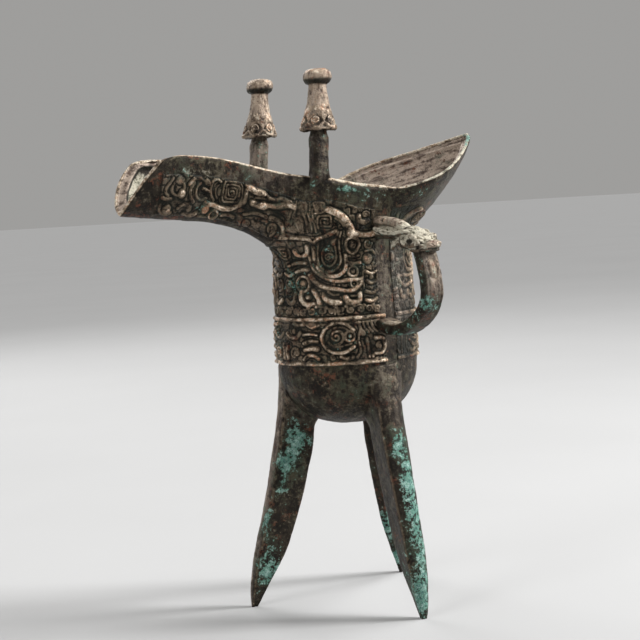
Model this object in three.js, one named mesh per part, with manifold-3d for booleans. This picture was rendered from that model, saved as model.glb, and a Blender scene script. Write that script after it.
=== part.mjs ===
// A bronze jue, the three-legged wine vessel with a pouring spout, a pointed tail, two capped posts and a strap
// handle under an ox head. Lengths are in millimetres, +Z is up, the spout points to -X and the handle to -Y.
// The origin lies on the ground, midway between the outermost points along X and along Y.

import * as THREE from "three";
import { mergeVertices } from "three/addons/utils/BufferGeometryUtils.js";
import Module from "manifold-3d";

const wasm = await Module();
wasm.setup();

// Fits shared by all pieces
const seam = 0.3; // gap left where two castings meet
const embed = 2.5; // how far a root is drawn into the wall before it is cut to it

// Cup: an oval beaker with a round bottom
const cupHalfLength = 28.2; // along X
const cupHalfWidth = 26.2; // along Y
const undersideZ = 72.3; // lowest point of the round bottom
const bowlHeight = 24.7; // from the lowest point up to the straight wall
const bowlFullness = 2.25; // power of the bottom's curve: 2 is an ellipse, more is boxier
const waistZ = 138; // narrowest ring of the wall
const waistPinch = 0.958; // size of that ring against the cup
const wall = 2.6;

// Mouth: the rim runs out to the spout on one side and to the tail on the other
const spoutReach = 96; // from the cup's axis to the lower lip
const spoutSlant = 11; // how far the spout's upper corners stand back from the lower lip
const spoutSlantPower = 1.6;
const tailReach = 68.4; // from the cup's axis to the tail's tip
const spoutRoundness = 1.5; // power of the trough's section: 1 is a plain V, 2 is half an ellipse
const tailRoundness = 1.2;
const sectionTurnX = -25; // the section starts to change from the spout's to the tail's here
const sectionTurnLength = 35;
const hullBlend = 5; // softness of the bend where the cup turns into the spout and the tail
const rimCrown = 0.5; // how far the rim's middle stands above its edges

// Stations along the rim: share of the reach, half width there, rim height and keel height
const spoutStations = [
  [0.0, 28.0, 164.0, 134.0],
  [0.083, 25.4, 165.2, 134.5],
  [0.224, 21.0, 168.4, 136.0],
  [0.333, 17.9, 170.0, 143.0],
  [0.469, 15.5, 173.0, 150.6],
  [0.625, 14.3, 177.0, 154.8],
  [0.781, 13.6, 178.9, 156.6],
  [0.9, 13.2, 179.0, 157.8],
  [1.0, 13.0, 179.0, 158.8],
];
const tailStations = [
  [0.0, 28.0, 164.0, 134.0],
  [0.117, 31.6, 163.4, 136.0],
  [0.234, 35.5, 165.4, 139.0],
  [0.351, 37.0, 168.3, 142.0],
  [0.468, 34.6, 172.0, 146.4],
  [0.585, 29.2, 175.2, 152.5],
  [0.789, 16.4, 179.8, 164.0],
  [0.936, 6.2, 183.6, 175.5],
  [1.0, 0.0, 185.2, 181.5],
];
const spoutSeamX = -31; // where the spout begins
const tailSeamX = 32; // where the tail begins

// Friezes: thin bands of relief on the cup and on the spout
const friezeRelief = 0.9; // how far a frieze stands off the wall
const borderRelief = 1.5; // how far its border ridges stand off the wall
const borderWidth = 1.7;
const lowerFriezeZ = 97.6; // underside of the lower frieze
const upperFriezeZ = 116.6; // underside of the upper frieze
const friezeTopZ = 156;
const friezeTopLeast = 8; // height of the upper frieze where it is lowest
const flareAllowed = 4.5; // the upper frieze ends where the wall has flared out this far
const friezeGap = 4.1; // half width of the plain strip behind the handle
const spoutFriezeStart = 0.34; // shares of the spout's reach
const spoutFriezeEnd = 0.875;
const spoutFriezeLow = 0.1; // shares of the section's height, from the keel to the rim
const spoutFriezeHigh = 0.66;

// Posts: two standing on the rim where the spout begins, each with a waisted cap
const postX = -21.5;
const postWidth = 7.6;
const postDepth = 6.2;
const postTopZ = 186.5;
const postNeckHeight = 3; // the post narrows over this height below the cap
const postNeckWidth = 5.2;
const postRootDepth = 9; // how far the post's root runs down the outside of the wall
const tenonRadius = 2.1; // round tenon on the post, which the cap's socket takes
const tenonLength = 9;
const socketClearance = 0.3;
const capHeight = 23.2;
const capRadius = 6.95; // at the skirt
const knobRadius = 5.4;
const capNeckRadius = 3.75;

// Handle: a strap from the lower frieze up to the jaw of the ox head
const strapWidth = 7.5;
const strapThickness = 3.7;
const strapRootZ = 110;
const handleReach = 60.8; // from the cup's axis to the muzzle
const strapReach = 55.7; // from the cup's axis to the middle of the strap
const strapBellyZ = 127;
const headRootZ = 148;
const jawZ = 141;
const headHalfWidth = 7.2;

// Legs: three blades of triangular section
const legRootZ = 96.5;
const footRadius = 43; // from the cup's axis to the middle of a foot
const footDepth = 2.6; // along the radius
const footWidth = 2.4;
// Stations up a leg: height, outer edge short of the foot's radius, depth, outer width, inner width
const legStations = [
  [6, 0.0, 6.0, 5.2, 1.8],
  [14, 0.9, 9.0, 7.4, 2.6],
  [25, 3.3, 11.4, 9.0, 3.0],
  [40, 7.2, 12.8, 9.8, 3.4],
  [57, 10.9, 13.9, 10.6, 3.8],
  [72.5, 14.0, 14.9, 11.2, 4.2],
  [88.5, 16.2, 16.0, 11.0, 5.0],
];

// Fineness of the meshes
const rimSteps = 27; // along each side of the rim
const bowlRows = 7;
const mouthRows = 8;
const friezeSteps = 15; // around each half
const capSteps = 16;

const bronze = (colour, roughness) =>
  new THREE.MeshStandardMaterial({ color: colour, roughness, metalness: 0.55 });
const darkBronze = bronze(0x2e2a22, 0.6);
const greenBronze = bronze(0x3f6b57, 0.75);
const wornBronze = bronze(0x8a6f58, 0.5);

const jue = new THREE.Group();

// Small helpers

const mix = (a, b, t) => a + (b - a) * t;
const clamp = (v, low, high) => Math.min(high, Math.max(low, v));

function smoothMin(a, b, softness) {
  const h = Math.max(softness - Math.abs(a - b), 0) / softness;
  return Math.min(a, b) - (h * h * softness) / 4;
}

// A smooth line through stations whose first column is where they are; returns the value of one column.
function along(stations, place, column) {
  const last = stations.length - 1;
  const t = clamp(place, stations[0][0], stations[last][0]);
  let i = 0;
  while (i < last - 1 && stations[i + 1][0] < t) i++;
  const [x0, x1] = [stations[i][0], stations[i + 1][0]];
  const slopeAt = (k) => {
    const [a, b] = [Math.max(k - 1, 0), Math.min(k + 1, last)];
    return (stations[b][column] - stations[a][column]) / (stations[b][0] - stations[a][0]);
  };
  const u = (t - x0) / (x1 - x0);
  const [y0, y1] = [stations[i][column], stations[i + 1][column]];
  const [m0, m1] = [slopeAt(i) * (x1 - x0), slopeAt(i + 1) * (x1 - x0)];
  return (
    (2 * u ** 3 - 3 * u ** 2 + 1) * y0 +
    (u ** 3 - 2 * u ** 2 + u) * m0 +
    (3 * u ** 2 - 2 * u ** 3) * y1 +
    (u ** 3 - u ** 2) * m1
  );
}

// A closed body through rings of equal point counts, its two ends covered.
function loft(rings) {
  const n = rings[0].length;
  const positions = rings.flat().flatMap((p) => [p.x, p.y, p.z]);
  const index = [];
  for (let r = 0; r < rings.length - 1; r++)
    for (let i = 0; i < n; i++) {
      const [a, b] = [r * n + i, r * n + ((i + 1) % n)];
      index.push(a, b, b + n, a, b + n, a + n);
    }
  for (const end of [0, rings.length - 1]) {
    const centre = rings[end].reduce((sum, p) => sum.add(p), new THREE.Vector3()).divideScalar(n);
    const hub = positions.length / 3;
    positions.push(centre.x, centre.y, centre.z);
    for (let i = 0; i < n; i++) {
      const [a, b] = [end * n + i, end * n + ((i + 1) % n)];
      if (end === 0) index.push(hub, b, a);
      else index.push(hub, a, b);
    }
  }
  const geometry = new THREE.BufferGeometry();
  geometry.setAttribute("position", new THREE.Float32BufferAttribute(positions, 3));
  geometry.setIndex(index);
  return geometry;
}

// A three.js geometry as a solid that can be cut and joined.
function solidOf(geometry) {
  const bare = geometry.clone();
  bare.deleteAttribute("normal");
  bare.deleteAttribute("uv");
  const merged = mergeVertices(bare, 1e-4);
  const build = (flip) => {
    const triVerts = new Uint32Array(merged.index.array);
    if (flip)
      for (let i = 0; i < triVerts.length; i += 3)
        [triVerts[i + 1], triVerts[i + 2]] = [triVerts[i + 2], triVerts[i + 1]];
    return new wasm.Manifold(
      new wasm.Mesh({
        numProp: 3,
        vertProperties: new Float32Array(merged.attributes.position.array),
        triVerts,
      }),
    );
  };
  const solid = build(false);
  return solid.volume() < 0 ? build(true) : solid;
}

function geometryOf(solid) {
  const mesh = solid.getMesh();
  const geometry = new THREE.BufferGeometry();
  geometry.setAttribute("position", new THREE.Float32BufferAttribute(mesh.vertProperties, mesh.numProp));
  geometry.setIndex(new THREE.Uint32BufferAttribute(mesh.triVerts, 1));
  const flat = geometry.toNonIndexed();
  flat.computeVertexNormals();
  return flat;
}

// A box between two corners, as a solid.
function boxSolid(low, high) {
  const box = new THREE.BoxGeometry(high[0] - low[0], high[1] - low[1], high[2] - low[2]);
  box.translate((low[0] + high[0]) / 2, (low[1] + high[1]) / 2, (low[2] + high[2]) / 2);
  return solidOf(box);
}

// The largest body of a cut: crumbs thinner than the casting's skin are left out.
function largest(solid) {
  const bodies = solid.decompose();
  return bodies.reduce((best, body) => (body.volume() > best.volume() ? body : best));
}

function addPiece(name, solid, material) {
  const mesh = new THREE.Mesh(geometryOf(largest(solid)), material);
  mesh.name = name;
  jue.add(mesh);
}

// Shape of the vessel's wall. Each function takes an inset: 0 is the outer face, wall the inner one, and a
// negative inset a face outside the wall.

const shoulderZ = undersideZ + bowlHeight;

const wallStations = [
  [shoulderZ, 1],
  [shoulderZ + 15, 1],
  [waistZ, waistPinch],
  [friezeTopZ, mix(waistPinch, 1, 0.6)],
  [friezeTopZ + 20, 1],
];

function cupField(x, y, z, inset) {
  const [a, b] = [cupHalfLength - inset, cupHalfWidth - inset];
  if (z >= shoulderZ) {
    const swell = along(wallStations, z, 1);
    return (Math.hypot(x / (cupHalfLength * swell - inset), y / (cupHalfWidth * swell - inset)) - 1) * b;
  }
  const ring = Math.hypot(x / a, y / b) ** bowlFullness;
  const drop = ((shoulderZ - z) / (bowlHeight - inset)) ** bowlFullness;
  return ((ring + drop) ** (1 / bowlFullness) - 1) * b;
}

// Half width, rim height and keel height of the mouth at a place along X.
function hullAt(x, inset) {
  const toTail = x >= 0;
  const stations = toTail ? tailStations : spoutStations;
  const place = Math.abs(x) / (toTail ? tailReach : spoutReach);
  const slope = toTail ? 1.35 : 1.05; // the keels climb, so a wall of even thickness is taller than it is thick
  return {
    half: along(stations, place, 1) - inset * (toTail ? mix(1, 1.45, clamp(place * 1.4 - 0.4, 0, 1)) : 1),
    rim: along(stations, place, 2),
    keel: along(stations, place, 3) + inset * slope,
  };
}

function hullField(x, y, z, inset) {
  const { half, rim, keel } = hullAt(x, inset);
  if (half < 0.02) return Math.abs(x) + Math.abs(y) * 10 - tailReach + 0.001 + inset;
  const power = mix(spoutRoundness, tailRoundness, clamp((x - sectionTurnX) / sectionTurnLength, 0, 1));
  const across = (Math.abs(y) / half) ** power;
  const down = (Math.max(rim - z, 0) / Math.max(rim - keel, 0.5)) ** power;
  const scale = Math.min(half, rim - keel);
  return Math.max(((across + down) ** (1 / power) - 1) * scale, x - tailReach + inset * 0.6);
}

const wallField = (x, y, z, inset) =>
  smoothMin(cupField(x, y, z, inset), hullField(x, y, z, inset), hullBlend);

// The spout's mouth is cut by a face that leans back from the lower lip.
function lipX(z, inset) {
  const { rim, keel } = hullAt(-spoutReach, 0);
  return -spoutReach + spoutSlant * clamp((z - keel) / (rim - keel), 0, 1) ** spoutSlantPower;
}

// The half rim as a dense line of points, from the tail's tip to the middle of the lower lip.
function rimLine(inset) {
  const points = [];
  const cornerX = -spoutReach + spoutSlant;
  const steps = 400;
  let tip = tailReach - inset * 0.6;
  while (inset > 0 && hullAt(tip, inset).half < 0) tip -= 0.02;
  for (let i = 0; i <= steps; i++) {
    const x = mix(tip, cornerX, i / steps);
    const { half, rim } = hullAt(x, inset);
    points.push(new THREE.Vector3(x, Math.max(half, 0), rim));
  }
  points[0].y = 0;
  const top = hullAt(cornerX, inset).rim;
  const low = hullAt(-spoutReach, inset).keel;
  const lipSteps = 60;
  for (let i = 1; i <= lipSteps; i++) {
    const z = mix(top, low, i / lipSteps);
    const x = lipX(z, inset);
    const { half, rim, keel } = hullAt(x, inset);
    const down = clamp((rim - z) / (rim - keel), 0, 1) ** spoutRoundness;
    points.push(new THREE.Vector3(x, half * Math.max(1 - down, 0) ** (1 / spoutRoundness), z));
  }
  points[points.length - 1].y = 0;
  return points;
}

// Evenly spaced points along a line of points.
function resample(line, count) {
  const lengths = [0];
  for (let i = 1; i < line.length; i++) lengths.push(lengths[i - 1] + line[i].distanceTo(line[i - 1]));
  const total = lengths[lengths.length - 1];
  const out = [];
  let k = 0;
  for (let i = 0; i <= count; i++) {
    const want = (total * i) / count;
    while (k < line.length - 2 && lengths[k + 1] < want) k++;
    const share = clamp((want - lengths[k]) / (lengths[k + 1] - lengths[k] || 1), 0, 1);
    out.push(line[k].clone().lerp(line[k + 1], share));
  }
  return out;
}

// The wall is traced in upright half planes through the cup's axis, by rays from a point on the axis.
const rayZ = spoutStations[0][2] + 7;

function hitWall(angle, slope, inset) {
  const [cx, cy] = [Math.cos(angle), Math.sin(angle)];
  const [cr, cz] = [Math.cos(slope), Math.sin(slope)];
  const field = (t) => wallField(cx * cr * t, cy * cr * t, rayZ + cz * t, inset);
  let high = 4;
  while (high < 140 && field(high) < 0) high += 2;
  let low = high - 2;
  for (let i = 0; i < 24; i++) {
    const mid = (low + high) / 2;
    if (field(mid) < 0) low = mid;
    else high = mid;
  }
  return new THREE.Vector3(cx * cr * high, cy * cr * high, rayZ + cz * high);
}

// One meridian from the middle of the bottom up to a rim point, in two stretches that meet at the waist.
function meridian(angle, rimPoint, inset) {
  const outTo = Math.hypot(rimPoint.x, rimPoint.y);
  const topSlope = Math.atan2(rimPoint.z - rayZ, outTo);
  const traces = 90;
  const line = [];
  for (let i = 0; i <= traces; i++) {
    const slope = mix(-Math.PI / 2, topSlope, i / traces);
    line.push(i === traces ? rimPoint.clone() : hitWall(angle, slope, inset));
  }
  line[0].set(0, 0, line[0].z);
  const split = line.findIndex((p) => p.z > waistZ);
  const [below, above] = [line[split - 1], line[split]];
  const waist = below.clone().lerp(above, (waistZ - below.z) / (above.z - below.z));
  const lower = resample([...line.slice(0, split), waist], bowlRows);
  const upper = resample([waist, ...line.slice(split)], mouthRows);
  return [...lower, ...upper.slice(1)];
}

const rowCount = bowlRows + mouthRows + 1;

// The point of a rim line that lies in the half plane at an angle.
function rimPointAt(line, angle) {
  const angleOf = (p) => Math.atan2(p.y, p.x);
  let i = 0;
  while (i < line.length - 2 && angleOf(line[i + 1]) < angle) i++;
  const [a, b] = [angleOf(line[i]), angleOf(line[i + 1])];
  return line[i].clone().lerp(line[i + 1], clamp((angle - a) / (b - a || 1), 0, 1));
}

// Meridians all the way round, the tail first; the second half mirrors the first.
function meridians(inset, angles, line) {
  const half = angles.map((angle, i) => {
    const end = i === 0 ? line[0] : i === angles.length - 1 ? line[line.length - 1] : rimPointAt(line, angle);
    return meridian(angle, end, inset);
  });
  const mirrored = half
    .slice(1, -1)
    .reverse()
    .map((points) => points.map((p) => new THREE.Vector3(p.x, -p.y, p.z)));
  return [...half, ...mirrored];
}

const outerRim = rimLine(0);
const columnAngles = resample(outerRim, rimSteps).map((p, i) =>
  i === 0 ? 0 : i === rimSteps ? Math.PI : Math.atan2(p.y, p.x),
);

// Stitches columns of points round the axis into one sheet; the first point of each column is shared.
function sheet(columns, positions, index, inward) {
  const base = positions.length / 3;
  const rows = columns[0].length;
  const first = columns[0][0];
  positions.push(first.x, first.y, first.z);
  for (const column of columns) for (const p of column.slice(1)) positions.push(p.x, p.y, p.z);
  const at = (c, r) => (r === 0 ? base : base + 1 + (c % columns.length) * (rows - 1) + r - 1);
  const face = (a, b, c) => (inward ? index.push(a, c, b) : index.push(a, b, c));
  for (let c = 0; c < columns.length; c++)
    for (let r = 0; r < rows - 1; r++) {
      if (r > 0) face(at(c, r), at(c + 1, r), at(c + 1, r + 1));
      face(at(c, r), at(c + 1, r + 1), at(c, r + 1));
    }
  return at;
}

// The whole vessel wall: outer face, inner face and the crowned rim between them.
function vesselShell() {
  const outer = meridians(0, columnAngles, outerRim);
  const inner = meridians(wall, columnAngles, rimLine(wall));
  const [positions, index] = [[], []];
  const outerAt = sheet(outer, positions, index, false);
  const innerAt = sheet(inner, positions, index, true);
  const crown = outer.map((column, i) => {
    const p = column[rowCount - 1].clone().lerp(inner[i][rowCount - 1], 0.5);
    positions.push(p.x, p.y, p.z + rimCrown);
    return positions.length / 3 - 1;
  });
  const top = rowCount - 1;
  for (let c = 0; c < outer.length; c++) {
    const d = (c + 1) % outer.length;
    index.push(outerAt(c, top), outerAt(d, top), crown[d], outerAt(c, top), crown[d], crown[c]);
    index.push(crown[c], crown[d], innerAt(d, top), crown[c], innerAt(d, top), innerAt(c, top));
  }
  const geometry = new THREE.BufferGeometry();
  geometry.setAttribute("position", new THREE.Float32BufferAttribute(positions, 3));
  geometry.setIndex(index);
  return solidOf(geometry);
}

// The space that the wall's outer face encloses, grown by the seam, for cutting roots to the wall.
function vesselEnvelope(inset) {
  const columns = meridians(inset, columnAngles, rimLine(inset));
  const [positions, index] = [[], []];
  const at = sheet(columns, positions, index, false);
  const lid = positions.length / 3;
  positions.push(0, 0, rayZ);
  for (let c = 0; c < columns.length; c++) index.push(at(c, rowCount - 1), at(c + 1, rowCount - 1), lid);
  const geometry = new THREE.BufferGeometry();
  geometry.setAttribute("position", new THREE.Float32BufferAttribute(positions, 3));
  geometry.setIndex(index);
  return solidOf(geometry);
}

const shell = vesselShell();
const envelope = vesselEnvelope(-seam);

// Cup, spout and tail: the wall parted by upright seams

const far = 300; // beyond the object in every direction

const cupRoom = boxSolid([spoutSeamX + seam / 2, -far, 0], [tailSeamX - seam / 2, far, far]);
const spoutRoom = boxSolid([-far, -far, 0], [spoutSeamX - seam / 2, far, far]);
const tailRoom = boxSolid([tailSeamX + seam / 2, -far, 0], [far, far, far]);

// Friezes on the cup

// Distance from the axis to the wall's outer face, level with a height.
function wallRadius(angle, z, inset) {
  const [cx, cy] = [Math.cos(angle), Math.sin(angle)];
  let low = 10;
  while (low < 120 && wallField(cx * (low + 1), cy * (low + 1), z, inset) < 0) low += 1;
  let high = low + 1;
  for (let i = 0; i < 24; i++) {
    const mid = (low + high) / 2;
    if (wallField(cx * mid, cy * mid, z, inset) < 0) low = mid;
    else high = mid;
  }
  return high;
}

// The straight cup's radius, without the flare of the mouth.
function cupRadius(angle, z) {
  const swell = along(wallStations, z, 1);
  return 1 / Math.hypot(Math.cos(angle) / (cupHalfLength * swell), Math.sin(angle) / (cupHalfWidth * swell));
}

// Top of the upper frieze: it stops where the wall has flared out towards the spout or the tail.
function friezeTop(angle) {
  let z = upperFriezeZ + friezeTopLeast;
  while (z < friezeTopZ && wallRadius(angle, z, 0) - cupRadius(angle, z) < flareAllowed) z += 0.25;
  return Math.min(z, friezeTopZ);
}

// Two skins that lie on the wall, one as thick as the relief and one as thick as the border ridges.
const skinOf = (thickness) => vesselEnvelope(-seam - thickness).subtract(envelope);
const reliefSkin = skinOf(friezeRelief);
const borderSkin = skinOf(borderRelief);
const windowDepth = 4; // how far a window reaches in and out of the wall

// A window round the cup, open behind the handle, between two heights that may change with the angle.
function bandWindow(bottom, topAt) {
  const start = -Math.PI / 2 + Math.asin(friezeGap / cupHalfWidth);
  const sweep = 2 * (Math.PI - Math.asin(friezeGap / cupHalfWidth));
  const rings = [];
  for (let i = 0; i <= 2 * friezeSteps; i++) {
    const angle = start + (sweep * i) / (2 * friezeSteps);
    const top = topAt(angle);
    const point = (z, off) => {
      const r = wallRadius(angle, z, 0) + off;
      return new THREE.Vector3(r * Math.cos(angle), r * Math.sin(angle), z);
    };
    const rows = [0, 0.5, 1].map((t) => mix(bottom, top, t));
    const outer = rows.map((z) => point(z, windowDepth));
    const inner = rows.map((z) => point(z, -windowDepth)).reverse();
    rings.push([...outer, ...inner]);
  }
  return loftStrip(rings);
}

// As loft, with each end covered by a strip between its two long sides instead of a fan.
function loftStrip(rings) {
  const n = rings[0].length;
  const positions = rings.flat().flatMap((p) => [p.x, p.y, p.z]);
  const index = [];
  for (let r = 0; r < rings.length - 1; r++)
    for (let i = 0; i < n; i++) {
      const [a, b] = [r * n + i, r * n + ((i + 1) % n)];
      index.push(a, b, b + n, a, b + n, a + n);
    }
  for (const end of [0, rings.length - 1])
    for (let i = 0; i < n / 2 - 1; i++) {
      const [a, b] = [end * n + i, end * n + i + 1];
      const [c, d] = [end * n + n - 2 - i, end * n + n - 1 - i];
      if (end === 0) index.push(a, c, b, a, d, c);
      else index.push(a, b, c, a, c, d);
    }
  const geometry = new THREE.BufferGeometry();
  geometry.setAttribute("position", new THREE.Float32BufferAttribute(positions, 3));
  geometry.setIndex(index);
  return solidOf(geometry);
}

function upperFrieze() {
  const field = reliefSkin.intersect(bandWindow(upperFriezeZ, friezeTop));
  return field.intersect(cupRoom).subtract(headSolid(seam));
}

function lowerFrieze() {
  const [low, high] = [lowerFriezeZ, upperFriezeZ - seam];
  const field = reliefSkin.intersect(bandWindow(low, () => high));
  const lowerBorder = borderSkin.intersect(bandWindow(low, () => low + borderWidth));
  const upperBorder = borderSkin.intersect(bandWindow(high - borderWidth, () => high));
  return field.add(lowerBorder).add(upperBorder).subtract(strapSolid(seam));
}

// Friezes on the two sides of the spout

function spoutFrieze(side) {
  const [stepsAlong, stepsUp] = [8, 3];
  const pointAt = (x, up, off) => {
    const { half, rim, keel } = hullAt(x, 0);
    const place = (share) => {
      const y = half * Math.max(1 - (1 - share) ** spoutRoundness, 0) ** (1 / spoutRoundness);
      return new THREE.Vector2(y, mix(keel, rim, share));
    };
    const here = place(up);
    const run = place(Math.min(up + 0.02, 1)).sub(place(up - 0.02)).normalize();
    return new THREE.Vector3(x, side * (here.x + run.y * off), here.y - run.x * off);
  };
  const rings = [];
  for (let i = 0; i <= stepsAlong; i++) {
    const x = -spoutReach * mix(spoutFriezeStart, spoutFriezeEnd, i / stepsAlong);
    const shares = [...Array(stepsUp + 1).keys()].map((k) => mix(spoutFriezeLow, spoutFriezeHigh, k / stepsUp));
    const outer = shares.map((s) => pointAt(x, s, windowDepth));
    const inner = shares.map((s) => pointAt(x, s, -windowDepth / 2)).reverse();
    rings.push([...outer, ...inner]);
  }
  return reliefSkin.intersect(loftStrip(rings)).intersect(spoutRoom);
}

// Posts and their caps

function postPlace() {
  const { half, rim } = hullAt(postX, 0);
  return { y: half - wall / 2, rim };
}

const roundedSquare = (halfX, halfY, z, corner) => {
  const points = [];
  for (const [sx, sy] of [[1, 1], [-1, 1], [-1, -1], [1, -1]]) {
    const ends = [
      new THREE.Vector3(sx * halfX, sy * (halfY - corner), z),
      new THREE.Vector3(sx * (halfX - corner * 0.3), sy * (halfY - corner * 0.3), z),
      new THREE.Vector3(sx * (halfX - corner), sy * halfY, z),
    ];
    points.push(...(sx * sy > 0 ? ends : ends.reverse()));
  }
  return points;
};

// A post straddles the rim: its shaft stands on it and its root runs down the outside.
function post(side) {
  const { y, rim } = postPlace();
  const outside = y + wall / 2;
  const [halfX, halfY] = [postWidth / 2, postDepth / 2];
  const shaftTop = postTopZ - postNeckHeight;
  const corner = postDepth * 0.28;
  const rings = [
    roundedSquare(halfX * 1.12, halfY * 1.1, rim - postRootDepth, corner),
    roundedSquare(halfX * 1.12, halfY * 1.1, rim, corner),
    roundedSquare(halfX, halfY, rim + 3, corner),
    roundedSquare(halfX, halfY, shaftTop, corner),
    roundedSquare(halfX * 0.88, halfY * 0.9, shaftTop + postNeckHeight * 0.4, corner),
    roundedSquare(postNeckWidth / 2, postNeckWidth / 2, postTopZ, postNeckWidth * 0.25),
  ];
  let body = solidOf(loft(rings).translate(postX, side * y, 0));
  const tenon = new THREE.CylinderGeometry(tenonRadius, tenonRadius, tenonLength + 1, capSteps);
  tenon.rotateX(Math.PI / 2).translate(postX, side * y, postTopZ + (tenonLength - 1) / 2);
  body = body.add(solidOf(tenon));
  // The foot is let down over the rim: what lies inside the wall's inner face is cut away below the rim.
  const inside = boxSolid(
    [postX - far, Math.min(0, side * (outside - wall - seam)), 0],
    [postX + far, Math.max(0, side * (outside - wall - seam)), rim + rimCrown],
  );
  return body.subtract(inside).subtract(rimGroove());
}

// The wall and its rim, grown by the seam: what a post's foot has to leave free.
let groove;
function rimGroove() {
  if (groove) return groove;
  const outer = meridians(-seam, columnAngles, rimLine(-seam));
  const inner = meridians(wall + seam, columnAngles, rimLine(wall + seam));
  const [positions, index] = [[], []];
  const raise = (columns) =>
    columns.map((column) => {
      const top = column[column.length - 1].clone();
      return [...column, top.setZ(top.z + rimCrown + seam)];
    });
  const [outerUp, innerUp] = [raise(outer), raise(inner)];
  const outerAt = sheet(outerUp, positions, index, false);
  const innerAt = sheet(innerUp, positions, index, true);
  for (let c = 0; c < outerUp.length; c++) {
    const d = (c + 1) % outerUp.length;
    index.push(outerAt(c, rowCount), outerAt(d, rowCount), innerAt(d, rowCount));
    index.push(outerAt(c, rowCount), innerAt(d, rowCount), innerAt(c, rowCount));
  }
  const geometry = new THREE.BufferGeometry();
  geometry.setAttribute("position", new THREE.Float32BufferAttribute(positions, 3));
  geometry.setIndex(index);
  groove = solidOf(geometry);
  return groove;
}

// A waisted cap with a knob on top, turned about the post's axis, with a socket for the tenon.
function cap(side) {
  const bottom = postTopZ + seam;
  const height = capHeight;
  const socketTop = postTopZ + tenonLength + socketClearance;
  const socket = tenonRadius + socketClearance;
  const profile = [
    [socket, bottom],
    [capRadius * 0.8, bottom],
    [capRadius * 0.96, bottom + height * 0.03],
    [capRadius, bottom + height * 0.08],
    [capRadius * 0.91, bottom + height * 0.145],
    [capRadius * 0.79, bottom + height * 0.205],
    [mix(capNeckRadius, capRadius, 0.3), bottom + height * 0.29],
    [mix(capNeckRadius, capRadius, 0.11), bottom + height * 0.44],
    [capNeckRadius, bottom + height * 0.62],
    [capNeckRadius, bottom + height * 0.72],
    [knobRadius * 0.84, bottom + height * 0.76],
    [knobRadius, bottom + height * 0.83],
    [knobRadius * 0.99, bottom + height * 0.9],
    [knobRadius * 0.82, bottom + height * 0.97],
    [knobRadius * 0.45, bottom + height],
    [0, bottom + height],
    [0, socketTop],
    [socket, socketTop],
    [socket, bottom],
  ].map(([r, z]) => new THREE.Vector2(r, z));
  const { y } = postPlace();
  const turned = new THREE.LatheGeometry(profile, capSteps);
  turned.rotateX(Math.PI / 2).translate(postX, side * y, 0);
  return solidOf(turned);
}

// Handle

// A closed oval ring in the plane across a path that runs in the handle's upright plane.
function handleRing(radius, z, tilt, halfWidth, halfHeight, power) {
  const steps = 12;
  const points = [];
  for (let i = 0; i < steps; i++) {
    const a = (2 * Math.PI * i) / steps;
    const [c, s] = [Math.cos(a), Math.sin(a)];
    const u = Math.sign(c) * Math.abs(c) ** (2 / power) * halfWidth;
    const v = Math.sign(s) * Math.abs(s) ** (2 / power) * halfHeight;
    points.push(new THREE.Vector3(u, -(radius + Math.sin(tilt) * v), z + Math.cos(tilt) * v));
  }
  return points;
}

// The middle line of the strap, from inside the cup's wall round the belly and up into the ox's jaw.
function strapPath() {
  const root = cupHalfWidth * along(wallStations, strapRootZ, 1);
  const out = strapReach - root;
  return new THREE.CatmullRomCurve3(
    [
      [root - embed, strapRootZ],
      [root + out * 0.28, strapRootZ - 0.4],
      [root + out * 0.56, strapRootZ + 1.4],
      [root + out * 0.82, strapRootZ + 6],
      [root + out * 0.98, strapBellyZ - 5],
      [strapReach, strapBellyZ + 1],
      [strapReach - 1.6, mix(strapBellyZ, jawZ, 0.62)],
      [strapReach - 3.4, jawZ + 1],
    ].map(([r, z]) => new THREE.Vector3(0, -r, z)),
    false,
    "centripetal",
  );
}

const strapCache = {};
function strapSolid(grow) {
  if (strapCache[grow]) return strapCache[grow];
  const path = strapPath();
  const steps = 22;
  const rings = [];
  for (let i = 0; i <= steps; i++) {
    const p = path.getPointAt(i / steps);
    const run = path.getTangentAt(i / steps);
    const tilt = Math.atan2(-run.z, -run.y);
    rings.push(handleRing(-p.y, p.z, tilt, strapWidth / 2 + grow, strapThickness / 2 + grow, 3.2));
  }
  strapCache[grow] = solidOf(loft(rings));
  return strapCache[grow];
}

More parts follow.
